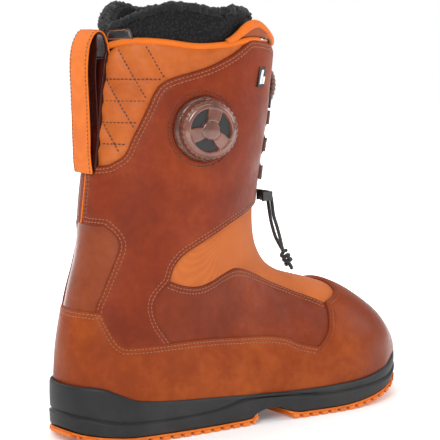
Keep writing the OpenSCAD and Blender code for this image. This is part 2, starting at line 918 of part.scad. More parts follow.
cord_pivot = [126, -22, 163];
module cord_anchor() {
  color("#1c1c1e")
  translate(cord_pivot) {
    rotate([90, 0, 0]) translate([0, 0, -6]) cylinder(h = 12, r = 1.2, $fn = 32);
    translate([-7.6, -6.6, -1.6]) cube([9, 1.8, 7]);
    translate([-3.4, 4.8, -1.6]) cube([4.8, 1.8, 7]);
    translate([-3.4, -6.6, 4.6]) cube([1.6, 13.2, 1.6]);
  }
}
cord_loop_r = 1.2 + cord_r + 0.3;
cord_hang = [[132, 150], [140.5, 132], [147, 121]];
module instep_cord() {
  hang_up = [for (i = [2 : -1 : 0]) [cord_hang[i][0], cord_pivot[1] - 3.2 + i, cord_hang[i][1]]];
  hang_down = [for (i = [0 : 2]) [cord_hang[i][0], cord_pivot[1] + 3.2 - 0.2 * i, cord_hang[i][1]]];
  around = [
    for (a = [-20 : 40 : 300])
      cord_pivot + [cord_loop_r * cos(a), -2.6 + 5.2 * (a + 20) / 320, cord_loop_r * sin(a)]
  ];
  color("#19191b") tube(concat(hang_up, around, hang_down), cord_r, [0, 1, 0], 8);
}
// The knot, a swollen barrel on the ends of the two cord strands.
knot_r = 3.6;
knot_place = [151.4, -19.4, 113.6];
knot_turn = [0, 150, 0];
module cord_knot() {
  half = 5;
  color("#19191b")
  translate(knot_place) rotate(knot_turn)
    rotate_extrude($fn = 32) polygon([
      [0, -half - 2.4], [knot_r * 0.7, -half - 1.6], [knot_r, -half + 1], [knot_r * 0.85, 0],
      [knot_r, half - 1], [knot_r * 0.7, half + 1.6], [0, half + 2.4]
    ]);
}

heel_outsole();
forefoot_outsole();
midsole();
shank();
lasting_board();
foot_lining();
heel_counter();
toe_puff();
toe_rand();
vamp_lateral();
vamp_medial();
ankle_lateral();
ankle_medial();
ankle_gusset();
liner_boot();
liner_flex();
footbed();
shaft_lateral();
shaft_medial();
quilted_collar();
collar_piping();
back_stay();
achilles_panel();
pull_loop();
shaft_lining();
liner_cuff();
lace_guides();
side_dial_housing();
side_dial_screw();
ankle_harness();
harness_cable();
front_lace();
collar_badge();
liner_label();
cord_anchor();
tongue();
tongue_binding();
front_dial_housing();
front_dial_screw();
side_spool();
side_knob();
side_knob_grip();
front_spool();
front_knob();
front_knob_grip();
instep_cord();
cord_knot();
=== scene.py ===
import math

import bmesh
import bpy
import numpy as np
from mathutils import Matrix, Vector


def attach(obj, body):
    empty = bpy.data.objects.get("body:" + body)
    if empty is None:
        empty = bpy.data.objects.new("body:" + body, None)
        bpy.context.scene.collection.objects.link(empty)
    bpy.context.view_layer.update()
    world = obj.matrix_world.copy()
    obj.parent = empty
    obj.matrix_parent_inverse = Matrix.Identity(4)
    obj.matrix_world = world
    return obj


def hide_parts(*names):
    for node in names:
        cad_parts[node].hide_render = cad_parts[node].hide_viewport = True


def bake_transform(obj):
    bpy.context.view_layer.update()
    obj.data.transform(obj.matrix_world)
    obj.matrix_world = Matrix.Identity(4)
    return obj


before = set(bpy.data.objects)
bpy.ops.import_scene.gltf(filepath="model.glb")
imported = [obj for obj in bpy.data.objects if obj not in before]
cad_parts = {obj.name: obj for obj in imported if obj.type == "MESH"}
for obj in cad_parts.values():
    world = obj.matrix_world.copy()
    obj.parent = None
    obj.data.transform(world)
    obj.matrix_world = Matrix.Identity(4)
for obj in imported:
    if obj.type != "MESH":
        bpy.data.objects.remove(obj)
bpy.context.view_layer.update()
rng = np.random.default_rng(7)

# Everything below is worked out in millimetres and turned into metres when a mesh is made.
MM = 0.001

# ---------------------------------------------------------------- the boot's outer surface

# Stations of the outer surface, the same design numbers as the CAD model: front point x, z; back
# point x, z; half width; widest place (-1 back to 1 front); roundness of the back half; shift
# towards the outer side.
STATIONS = np.array([
    [136, 316, 0, 316, 54, 0.22, 1.70, 0],
    [130, 258, -10, 258, 55, 0.22, 1.70, 0],
    [125, 216, -15, 212, 55, 0.17, 1.80, 0],
    [121, 186, -20, 168, 52, 0.12, 1.90, 0],
    [121, 162, -26, 126, 48, 0.06, 2.00, 0],
    [124, 143, -36, 88, 45, -0.02, 2.10, 0],
    [129, 128, -40, 54, 44, -0.12, 2.30, 0],
    [138, 115, -35, 22, 43.5, -0.20, 2.60, 0],
    [150, 107, 0, 11, 44.5, -0.30, 3.00, 1],
    [166, 102, 65, 11, 46.5, -0.40, 3.60, 2],
    [184, 97, 125, 11, 51, -0.45, 4.00, 3],
    [203, 90, 180, 11, 54, -0.45, 4.00, 4],
    [220, 80, 214, 13, 50, -0.42, 3.60, 4],
    [236, 68, 234, 16, 41, -0.35, 3.20, 4],
    [247.5, 54, 246.5, 22, 29, -0.20, 2.60, 4],
    [253, 39, 253, 35, 4, 0.00, 2.00, 4],
], float)
FRONT_ROUNDNESS = 2.25

# Lines seen from the side, each point x, z.
RIM = [(-50, 262), (-9.5, 268), (-7, 271), (-4.5, 275.5), (-1, 279.3), (6, 281.3),
       (22, 280.8), (44, 277.5), (66, 278.5), (86, 281.5), (98, 280.5), (110, 278),
       (118, 273), (124, 266), (160, 240)]
COLLAR = [(-50, 190), (-17, 194), (-9, 198), (-4, 203.5), (0, 214), (5, 225), (10, 236),
          (14, 245), (19, 252), (28, 256.5), (40, 260), (54, 264.5), (71, 272.5), (86, 282),
          (98, 288)]
GUSSET_TOP = [(22, 115), (25, 123), (32, 130.5), (42, 136), (56, 142.5), (75, 150.5),
              (94, 156.5), (110, 161), (160, 173)]
GUSSET_LOW = [(22, 113), (31, 109.5), (42, 107), (52, 107), (62, 109.5), (72, 113), (84, 115.3),
              (96, 113.5), (113, 107.5), (139, 96.5), (155, 89.5), (171, 82)]
TOE_EDGE = [(171, 82), (168.5, 72), (163, 60), (153, 51)]
TOE_TOP = [(171, 82), (184, 86), (192, 92), (196, 112)]
RAND = [(-60, 94), (-26, 93.5), (-22.5, 88), (-19, 78), (-14, 70.5), (-5, 69.3), (27, 69),
        (57, 68), (83, 66), (98, 65), (112, 63.5), (126, 60.5), (138, 55), (153, 51)]
VAMP_REAR = [(22, 113), (14, 105.5), (9.5, 98), (10, 90), (14, 81), (24, 68)]
ACHILLES = [(-60, 152), (-21, 152.5), (-17, 152), (-13.5, 148), (-11, 142), (-11.5, 136),
            (-15, 126), (-19, 116), (-23, 106), (-27, 96), (-29, 80)]
TONGUE_TOP = [(60, 280), (70, 284), (77, 288.5), (84, 293), (91, 295), (98, 293.5),
              (108, 288), (118, 283), (126, 280), (160, 279)]
TONGUE_LOW = [(60, 276), (86, 279), (112, 277), (160, 275)]
LINER_TOP = [(-30, 282), (-3, 287), (2, 293), (9, 299), (18, 303.5), (30, 307.5), (45, 306),
             (62, 303), (76, 305), (92, 302), (102, 295), (130, 284)]
SOLE_BOTTOM = [(-60, 19), (-46, 10), (-34, 6.5), (-14, 4.4), (-4, 4), (15, 4), (85, 4),
               (94, 7), (104, 10), (116, 10), (125, 6), (134, 4), (141, 4), (178, 4),
               (212, 8), (238, 15), (258, 26), (272, 38)]
WALL_TOP = [(-60, 42), (-32, 41), (-18, 36), (-2, 30), (30, 27), (60, 25), (110, 22),
            (160, 21), (200, 23), (228, 29), (248, 38), (272, 46)]
WALL_LEDGE = [(-60, 24), (-20, 15), (20, 13), (60, 14), (90, 19), (120, 18), (160, 14),
              (220, 17), (245, 24), (272, 34)]
SOLE_OUTLINE = [
    (-46, 0), (-43, -16), (-35, -27), (-22, -36.5), (-5, -42), (20, -46), (50, -48.5),
    (80, -50), (110, -53.5), (140, -57), (170, -60), (195, -60.5), (219, -56), (238, -46),
    (251, -31), (257.5, -12), (258.5, 4), (255.5, 20), (247.5, 33), (234.5, 43), (214, 50),
    (190, 53),
    (160, 52), (130, 50), (100, 47.5), (60, 46), (20, 45), (-5, 42.5), (-22, 36.5), (-35, 27),
    (-43, 15)]
THROAT_HALF = 24.0
SIDES = ((-1, "lateral"), (1, "medial"))
# The back seam, and with it the pull loop, lies a little to the inner side.
SEAM_Y = 3.5
# The narrow strip over the back seam: half its width, and where it starts.
STAY_HALF = 11.5
STAY_LOW = 192.0


def catmull(points, k, t):
    """Point t of the way along segment k of a Catmull-Rom curve."""
    n = len(points)
    a, b = points[max(k - 1, 0)], points[k]
    c, d = points[min(k + 1, n - 1)], points[min(k + 2, n - 1)]
    t = np.asarray(t, float)[:, None]
    return 0.5 * (2 * b + (c - a) * t + (2 * a - 5 * b + 4 * c - d) * t ** 2
                  + (3 * b - a - 3 * c + d) * t ** 3)


def curve(points, steps=6):
    p = np.array(points, float)
    t = np.arange(steps) / steps
    return np.vstack([catmull(p, k, t) for k in range(len(p) - 1)] + [p[-1:]])


def closed_curve(points, steps):
    p = np.array(points, float)
    wrapped = np.vstack([p[-1:], p, p[:2]])
    t = np.arange(steps) / steps
    return np.vstack([catmull(wrapped, k, t) for k in range(1, len(p) + 1)])


def height_of(line):
    """Function giving a side line's z at any x."""
    c = curve(line)
    return lambda x: np.interp(x, c[:, 0], c[:, 1])


def polygon_distance(*parts):
    """Signed distance in the side view to a closed outline, positive inside."""
    p = np.vstack([np.array(q, float).reshape(-1, 2) for q in parts])
    a, b = p, np.roll(p, -1, axis=0)
    keep = np.linalg.norm(b - a, axis=1) > 1e-6
    a, b = a[keep], b[keep]

    def distance(q):
        x, z = q[:, 0][:, None], q[:, 2][:, None]
        ab = b - a
        t = ((x - a[:, 0]) * ab[:, 0] + (z - a[:, 1]) * ab[:, 1]) / (ab ** 2).sum(1)
        t = np.clip(t, 0, 1)
        gap = np.hypot(x - a[:, 0] - t * ab[:, 0], z - a[:, 1] - t * ab[:, 1]).min(1)
        spans = (a[:, 1] > z) != (b[:, 1] > z)
        with np.errstate(divide="ignore", invalid="ignore"):
            cut = (b[:, 0] - a[:, 0]) * (z - a[:, 1]) / (b[:, 1] - a[:, 1]) + a[:, 0]
        inside = (spans & (x < cut)).sum(1) % 2 == 1
        return np.where(inside, gap, -gap)

    return distance


def shifted(line, dx, dz):
    return [(x + dx, z + dz) for x, z in line]


def back_to_front(line):
    return curve(line)[::-1]


class Skin:
    """A fine grid over the surface that the stations describe."""

    def __init__(self, stations, ring=170, step=2.6):
        rows = []
        for k in range(len(stations) - 1):
            a, b = stations[k], stations[k + 1]
            reach = max(np.hypot(*(b - a)[0:2]), np.hypot(*(b - a)[2:4]))
            n = max(5, round(reach / step))
            rows.append(catmull(stations, k, np.arange(n) / n))
        s = np.vstack(rows + [stations[-1:]])
        phi = np.arange(ring) * 2 * np.pi / ring
        c, sn = np.cos(phi)[None, :], np.sin(phi)[None, :]
        col = lambda i: s[:, i][:, None]
        n = np.where(c >= 0, FRONT_ROUNDNESS, col(6))
        w = col(5)
        reach = np.abs(c) ** (2 / n)
        along = np.where(c >= 0, w + (1 - w) * reach, w - (1 + w) * reach)
        y = -(col(4) * np.sign(sn) * np.abs(sn) ** (2 / n) + col(7))
        x = (col(0) + col(2)) / 2 + (col(0) - col(2)) / 2 * along
        z = (col(1) + col(3)) / 2 + (col(1) - col(3)) / 2 * along
        p = np.stack([x, y, z], -1)
        tip = p[-1].mean(0) + [0.6, 0, 0]
        p = np.concatenate([p, np.broadcast_to(tip, (1, ring, 3))])
        du = np.gradient(p, axis=0)
        dphi = np.roll(p, -1, axis=1) - np.roll(p, 1, axis=1)
        normal = np.cross(dphi, du)
        normal[-1] = [1, 0, 0]
        normal /= np.maximum(np.linalg.norm(normal, axis=-1, keepdims=True), 1e-9)
        link = np.linalg.norm(np.roll(p, -1, axis=1) - p, axis=-1)
        total = np.cumsum(link, axis=1) - link
        arc = total - total[:, ring // 2][:, None]
        rows_n = len(p)
        i, j = np.meshgrid(np.arange(rows_n - 1), np.arange(ring), indexing="ij")
        k = (j + 1) % ring
        a, b, c2, d = i * ring + j, i * ring + k, (i + 1) * ring + k, (i + 1) * ring + j
        self.tris = np.vstack([np.stack([a, d, b], -1).reshape(-1, 3),
                               np.stack([b, d, c2], -1).reshape(-1, 3)])
        self.data = np.concatenate([p.reshape(-1, 3), normal.reshape(-1, 3),
                                    arc.reshape(-1, 1)], axis=1)


def split(data, tris, column, level):
    """Cut every triangle along the line where a column equals level; also return the cut."""
    v = data[:, column] - level
    v = np.where(np.abs(v) < 1e-4, 1e-4, v)
    side = v > 0
    count = side[tris].sum(1)
    mixed = (count == 1) | (count == 2)
    m = tris[mixed]
    if len(m) == 0:
        return data, tris, np.zeros((0, 2), int)
    lone = np.argmax(side[m] == (count[mixed] == 1)[:, None], axis=1)
    m = np.take_along_axis(m, (lone[:, None] + np.arange(3)) % 3, 1)
    a, b, c = m.T
    edges = np.sort(np.vstack([np.stack([a, b], 1), np.stack([a, c], 1)]), axis=1)
    edges, where = np.unique(edges, axis=0, return_inverse=True)
    where = where.reshape(-1)
    t = (v[edges[:, 0]] / (v[edges[:, 0]] - v[edges[:, 1]]))[:, None]
    new = data[edges[:, 0]] * (1 - t) + data[edges[:, 1]] * t
    p = len(data) + where[:len(m)]
    q = len(data) + where[len(m):]
    out = np.vstack([tris[~mixed], np.stack([a, p, q], 1), np.stack([p, b, c], 1),
                     np.stack([p, c, q], 1)])
    return np.vstack([data, new]), out, np.stack([p, q], 1)


def surface_distance(region, data):
    """Distance to the region's edge, measured along the surface."""
    p, n = data[:, 0:3], data[:, 3:6]
    f = region(p)
    step = 0.4
    g = np.stack([region(p + step * np.eye(3)[i]) - f for i in range(3)], -1) / step
    g -= (g * n).sum(1)[:, None] * n
    return f / np.clip(np.linalg.norm(g, axis=1), 0.4, 1)


def make_object(name, verts, faces, smooth=True):
    mesh = bpy.data.meshes.new(name)
    mesh.from_pydata([tuple(v) for v in np.asarray(verts) * MM], [], [tuple(f) for f in faces])
    mesh.validate()
    mesh.update()
    if smooth:
        mesh.polygons.foreach_set("use_smooth", [True] * len(mesh.polygons))
    obj = bpy.data.objects.new(name, mesh)
    bpy.context.scene.collection.objects.link(obj)
    return obj


def bands(rings, sides, closed=False):
    """Faces that join rings of points, each ring to the next."""
    faces = []
    for i in range(rings if closed else rings - 1):
        k = (i + 1) % rings
        for j in range(sides):
            m = (j + 1) % sides
            faces.append((i * sides + j, i * sides + m, k * sides + m, k * sides + j))
    return faces


def capped_bands(rings, sides):
    """The same, with a face over the first and the last ring."""
    last = (rings - 1) * sides
    return bands(rings, sides) + [tuple(range(sides))[::-1],
                                  tuple(last + j for j in range(sides))]


def repair(obj, weld=None, outward=False):
    """Join points closer than weld metres, and turn every face outward."""
    mesh = bmesh.new()
    mesh.from_mesh(obj.data)
    if weld is not None:
        bmesh.ops.remove_doubles(mesh, verts=mesh.verts, dist=weld)
    if outward:
        bmesh.ops.recalc_face_normals(mesh, faces=mesh.faces)
    mesh.to_mesh(obj.data)
    mesh.free()


def sheet(name, skin, region, base, top, under=0.5, relief=None, rounding=1.3, seams=()):
    """A closed panel over the skin, with rounded edges, and the lines its seams follow."""
    data, tris = skin.data, skin.tris
    rough = region(data[:, 0:3])
    tris = tris[(rough[tris] > -8).any(1)]
    used = np.unique(tris)
    new_id = np.full(len(data), -1)
    new_id[used] = np.arange(len(used))
    data, tris = data[used], new_id[tris]
    data = np.column_stack([data, surface_distance(region, data)])
    data, tris, _ = split(data, tris, 7, 0)
    tris = tris[data[tris, 7].mean(1) > 0]
    cuts = {}
    levels = [0.25, 0.7, rounding]
    for s in seams:
        levels += [s - 0.5, s, s + 0.5]
    for level in levels:
        data, tris, cut = split(data, tris, 7, level)
        cuts[level] = cut
    used = np.unique(tris)
    new_id = np.full(len(data), -1)
    new_id[used] = np.arange(len(used))
    data, tris = data[used], new_id[tris]
    d = np.maximum(data[:, 7], 0)
    edge = 1 - np.minimum(d / rounding, 1)
    height = base + (top - base) * np.sqrt(1 - edge ** 2)
    for s in seams:
        height -= 0.3 * np.exp(-((d - s) / 0.45) ** 2)
    if relief is not None:
        height = height + relief(data[:, 0:3], data[:, 6], d)
    upper = data[:, 0:3] + data[:, 3:6] * height[:, None]
    lower = data[:, 0:3] + data[:, 3:6] * (base - under)
    n = len(data)
    pairs = np.vstack([tris[:, [0, 1]], tris[:, [1, 2]], tris[:, [2, 0]]])
    key = np.sort(pairs, axis=1)
    _, first, times = np.unique(key, axis=0, return_index=True, return_counts=True)
    rim = pairs[first[times == 1]]
    sides = np.stack([rim[:, 1], rim[:, 0], rim[:, 0] + n, rim[:, 1] + n], 1)
    faces = [tuple(t) for t in tris] + [tuple(t) for t in tris[:, ::-1] + n]
    faces += [tuple(q) for q in sides]
    obj = make_object(name, np.vstack([upper, lower]), faces)
    attribute = obj.data.attributes.new("edge", "FLOAT", "POINT")
    attribute.data.foreach_set("value", np.tile(np.minimum(d / 7, 1), 2).astype(np.float32))
    repair(obj, weld=2e-6)
    lines = {}
    for s in seams:
        cut = new_id[cuts[s]]
        lines[s] = chains(cut[(cut >= 0).all(1)], upper, data[:, 3:6])
    return obj, lines


def chains(links, points, normals):
    """Join pairs of points into lines; each line is its points and their normals."""
    near = {}
    for a, b in links.tolist():
        near.setdefault(a, []).append(b)
        near.setdefault(b, []).append(a)
    seen = set()
    lines = []
    ends = [v for v, w in near.items() if len(w) != 2]
    for start in ends + list(near):
        if start in seen:
            continue
        line = [start]
        seen.add(start)
        while True:
            step = [w for w in near[line[-1]] if w not in seen]
            if not step:
                break
            line.append(step[0])
            seen.add(step[0])
        if len(line) > 3:
            lines.append((points[line], normals[line]))
    return lines


def sample(line, pitch, start=0.5):
    """Evenly spaced places on a line: point, direction and normal of each."""
    p, n = line
    gap = np.linalg.norm(np.diff(p, axis=0), axis=1)
    keep = np.concatenate([[True], gap > 1e-4])
    p, n = p[keep], n[keep]
    total = np.concatenate([[0], np.cumsum(np.linalg.norm(np.diff(p, axis=0), axis=1))])
    at = np.arange(pitch * start, total[-1], pitch)
    if len(at) == 0:
        return np.zeros((0, 3)), np.zeros((0, 3)), np.zeros((0, 3))
    pick = lambda v, s: np.stack([np.interp(s, total, v[:, i]) for i in range(3)], -1)
    where = pick(p, at)
    ahead = pick(p, at + 0.8) - pick(p, at - 0.8)
    ahead /= np.maximum(np.linalg.norm(ahead, axis=1, keepdims=True), 1e-9)
    normal = pick(n, at)
    normal -= (normal * ahead).sum(1)[:, None] * ahead
    normal /= np.maximum(np.linalg.norm(normal, axis=1, keepdims=True), 1e-9)
    return where, ahead, normal


def stitches(name, lines, keep=None, pitch=2.9, length=2.1, width=0.42, lift=0.12):
    """Thread stitches along lines, as small rounded bars."""
    rings, sides = 5, 6
    t = np.linspace(-1, 1, rings)
    swell = np.sqrt(np.clip(1 - (np.abs(t) * 0.97) ** 4, 0, 1))
    ang = np.arange(sides) * 2 * np.pi / sides
    verts, faces = [], []
    pattern = capped_bands(rings, sides)
    count = 0
    for line in lines:
        p, ahead, normal = sample(line, pitch)
        if keep is not None and len(p):
            ok = keep(p)
            p, ahead, normal = p[ok], ahead[ok], normal[ok]
        across = np.cross(normal, ahead)
        for a, u, n, w in zip(p, ahead, normal, across):
            ring = (a + n * lift + u * (t * length / 2)[:, None, None]
                    + (w * np.cos(ang)[:, None] + n * 0.8 * np.sin(ang)[:, None])
                    * (swell * width)[:, None, None])
            verts.append(ring.reshape(-1, 3))
            faces += [tuple(count + v for v in f) for f in pattern]
            count += rings * sides
    if not verts:
        return None
    return make_object(name, np.vstack(verts), faces)


def tube(name, path, radius, sides=12, flat=1.0, up=(0, 0, 1), closed=False):
    """A round or flattened tube along a path; radius may vary along it."""
    p = np.asarray(path, float)
    n = len(p)
    r = np.broadcast_to(radius, n)
    ahead = np.roll(p, -1, 0) - np.roll(p, 1, 0) if closed else np.gradient(p, axis=0)
    ahead /= np.maximum(np.linalg.norm(ahead, axis=1, keepdims=True), 1e-9)
    u = np.cross(ahead, np.asarray(up, float))
    u /= np.maximum(np.linalg.norm(u, axis=1, keepdims=True), 1e-6)
    v = np.cross(ahead, u)
    ang = np.arange(sides) * 2 * np.pi / sides
    ring = (p[:, None] + r[:, None, None] * (u[:, None] * np.cos(ang)[None, :, None] * flat
                                            + v[:, None] * np.sin(ang)[None, :, None]))
    faces = bands(n, sides, closed=True) if closed else capped_bands(n, sides)
    return make_object(name, ring.reshape(-1, 3), faces)


# ---------------------------------------------------------------- materials

def rgb(code):
    values = [int(code[i:i + 2], 16) / 255 for i in (1, 3, 5)]
    return [v / 12.92 if v <= 0.04045 else ((v + 0.055) / 1.055) ** 2.4 for v in values] + [1]


class Nodes:
    """Short-hand for building a material's node tree."""

    def __init__(self, name):
        self.material = bpy.data.materials.new(name)
        self.material.use_nodes = True
        self.tree = self.material.node_tree
        self.shader = self.tree.nodes["Principled BSDF"]
        self.place = self.add("ShaderNodeTexCoord").outputs["Object"]

    def add(self, kind, **values):
        node = self.tree.nodes.new(kind)
        for key, value in values.items():
            setattr(node, key, value)
        return node

    def link(self, out, node, socket):
        self.tree.links.new(out, node.inputs[socket])

    def noise(self, scale, detail=4.0, rough=0.55):
        node = self.add("ShaderNodeTexNoise")
        self.link(self.place, node, "Vector")
        node.inputs["Scale"].default_value = scale
        node.inputs["Detail"].default_value = detail
        node.inputs["Roughness"].default_value = rough
        return node.outputs["Fac"]

    def cells(self, scale):
        node = self.add("ShaderNodeTexVoronoi", feature="F1")
        self.link(self.place, node, "Vector")
        node.inputs["Scale"].default_value = scale
        return node.outputs["Distance"]

    def ramp(self, fac, stops):
        node = self.add("ShaderNodeValToRGB")
        self.link(fac, node, "Fac")
        ramp = node.color_ramp
        while len(ramp.elements) < len(stops):
            ramp.elements.new(0.5)
        for element, (position, colour) in zip(ramp.elements, stops):
            element.position = position
            element.color = colour if len(colour) == 4 else (*colour, 1)
        return node.outputs["Color"]

    def mix(self, fac, a, b):
        node = self.add("ShaderNodeMix", data_type="RGBA", blend_type="MIX")
        for value, socket in ((fac, 0), (a, 6), (b, 7)):
            if isinstance(value, bpy.types.NodeSocket):
                self.tree.links.new(value, node.inputs[socket])
            else:
                node.inputs[socket].default_value = value
        return node.outputs[2]

    def maths(self, operation, a, b=0.0):
        node = self.add("ShaderNodeMath", operation=operation)
        for i, value in enumerate((a, b)):
            if isinstance(value, bpy.types.NodeSocket):
                self.tree.links.new(value, node.inputs[i])
            else:
                node.inputs[i].default_value = value
        return node.outputs[0]

    def along(self, axis, start, end):
        """0 before start and 1 after end, along one of the boot's axes."""
        parts = self.add("ShaderNodeSeparateXYZ")
        self.link(self.place, parts, 0)
        node = self.add("ShaderNodeMapRange", interpolation_type="SMOOTHSTEP")
        self.link(parts.outputs[axis], node, 0)
        node.inputs[1].default_value = start
        node.inputs[2].default_value = end
        return node.outputs[0]

    def attribute(self, name):
        node = self.add("ShaderNodeAttribute", attribute_name=name)
        return node.outputs["Fac"]

    def bump(self, height, distance, strength=1.0, before=None):
        node = self.add("ShaderNodeBump")
        node.inputs["Distance"].default_value = distance
        node.inputs["Strength"].default_value = strength
        self.link(height, node, "Height")
        if before is not None:
            self.link(before, node, "Normal")
        return node.outputs["Normal"]

    def finish(self, colour, rough, normal=None, **inputs):
        for value, socket in ((colour, "Base Color"), (rough, "Roughness")):
            if isinstance(value, bpy.types.NodeSocket):
                self.link(value, self.shader, socket)
            else:
                self.shader.inputs[socket].default_value = value
        if normal is not None:
            self.link(normal, self.shader, "Normal")
        for key, value in inputs.items():
            self.shader.inputs[key.replace("_", " ")].default_value = value
        return self.material


def leather(name, dark, mid, light, rough=0.5, grain=1.0, edge_dark=0.5, shine=0.0,
            toe=False):
    n = Nodes(name)
    patches = n.noise(17, 5, 0.6)
    fine = n.noise(160, 4, 0.6)
    tone = n.maths("ADD", n.maths("MULTIPLY", patches, 0.75), n.maths("MULTIPLY", fine, 0.25))
    colour = n.ramp(tone, [(0.24, rgb(dark)), (0.5, rgb(mid)), (0.76, rgb(light))])
    wear = n.ramp(n.noise(60, 6, 0.7), [(0.55, (0, 0, 0)), (0.78, (1, 1, 1))])
    colour = n.mix(n.maths("MULTIPLY", wear, 0.25), colour, rgb(light))
    edge = n.ramp(n.attribute("edge"), [(0.0, (1, 1, 1)), (0.35, (0, 0, 0))])
    colour = n.mix(n.maths("MULTIPLY", edge, edge_dark), colour, rgb(dark))
    pores = n.cells(1050)
    creases = n.noise(420, 3, 0.5)
    normal = n.bump(pores, 0.00016 * grain, 0.45)
    normal = n.bump(creases, 0.0004 * grain, 0.3, normal)
    roughness = n.ramp(n.noise(48, 4, 0.6), [(0.3, (rough - 0.09,) * 3), (0.7, (rough + 0.1,) * 3)])
    if toe:
        # Painted shade: the front of the toe, from x 175 mm to 215 mm and beyond, is darkened
        # towards the dark tone; the same region is also given a glossier finish.
        toe_shade_and_gloss = n.along(0, 0.175, 0.215)
        colour = n.mix(n.maths("MULTIPLY", toe_shade_and_gloss, 0.55), colour, rgb(dark))
        roughness = n.mix(toe_shade_and_gloss, roughness, (0.27, 0.27, 0.27, 1))
    return n.finish(colour, roughness, normal, Coat_Weight=shine, Coat_Roughness=0.25,
                    Specular_IOR_Level=0.16)


def weave(name, dark, light, scale=900.0, rough=0.85, sheen=0.3, depth=0.0003):
    n = Nodes(name)
    threads = []
    for axis in (0, 1, 2):
        wave = n.add("ShaderNodeTexWave", wave_type="BANDS")
        wave.bands_direction = "XYZ"[axis]
        n.link(n.place, wave, "Vector")
        wave.inputs["Scale"].default_value = scale / 3.0
        wave.inputs["Distortion"].default_value = 0.6
        threads.append(wave.outputs["Fac"])
    pattern = n.maths("MULTIPLY", threads[2], n.maths("MAXIMUM", threads[0], threads[1]))
    tone = n.maths("ADD", n.maths("MULTIPLY", pattern, 0.5),
                   n.maths("MULTIPLY", n.noise(40, 4), 0.5))
    colour = n.ramp(tone, [(0.2, rgb(dark)), (0.7, rgb(light))])
    normal = n.bump(pattern, depth, 0.7)
    return n.finish(colour, rough, normal, Sheen_Weight=sheen, Specular_IOR_Level=0.25)


def dotted_mesh(name, ground, dot):
    n = Nodes(name)
    spots = n.cells(560)
    colour = n.ramp(spots, [(0.25, rgb(dot)), (0.55, rgb(ground))])
    colour = n.mix(n.maths("MULTIPLY", n.noise(60), 0.3), colour, rgb("#0b0b0d"))
    normal = n.bump(spots, 0.0006, 0.9)
    return n.finish(colour, 0.6, normal, Sheen_Weight=0.03, Specular_IOR_Level=0.15)


def fleece(name, colour):
    n = Nodes(name)
    fuzz = n.noise(1500, 5, 0.8)
    tone = n.ramp(fuzz, [(0.35, rgb("#030304")), (0.75, rgb(colour))])
    return n.finish(tone, 0.95, n.bump(fuzz, 0.0006, 0.8), Sheen_Weight=0.12)


def rubber(name, base, dark, rough=0.62, bump=0.00025):
    n = Nodes(name)
    colour = n.ramp(n.noise(30, 5), [(0.3, rgb(dark)), (0.7, rgb(base))])
    dust = n.ramp(n.noise(8, 6, 0.65), [(0.5, (0, 0, 0)), (0.8, (1, 1, 1))])
    colour = n.mix(n.maths("MULTIPLY", dust, 0.10), colour, rgb("#8b8680"))
    normal = n.bump(n.noise(1400, 2), bump, 0.6)
    return n.finish(colour, rough, normal, Specular_IOR_Level=0.35)


def plastic(name, base, dark, rough=0.3, coat=0.4, haze=0.0):
    n = Nodes(name)
    colour = n.ramp(n.noise(55, 4), [(0.35, rgb(dark)), (0.65, rgb(base))])
    scratches = n.noise(600, 2)
    roughness = n.ramp(scratches, [(0.3, (rough - 0.06,) * 3), (0.7, (rough + 0.1,) * 3)])
    normal = n.bump(n.noise(250, 3), 0.00012, 0.4)
    return n.finish(colour, roughness, normal, Coat_Weight=coat, Coat_Roughness=0.12,
                    Subsurface_Weight=haze, Subsurface_Scale=0.004)


def metal(name, base, rough=0.32):
    n = Nodes(name)
    colour = n.ramp(n.noise(300, 3), [(0.3, rgb("#8d9194")), (0.7, rgb(base))])
    return n.finish(colour, rough, n.bump(n.noise(1200, 2), 0.0001, 0.4), Metallic=1.0)


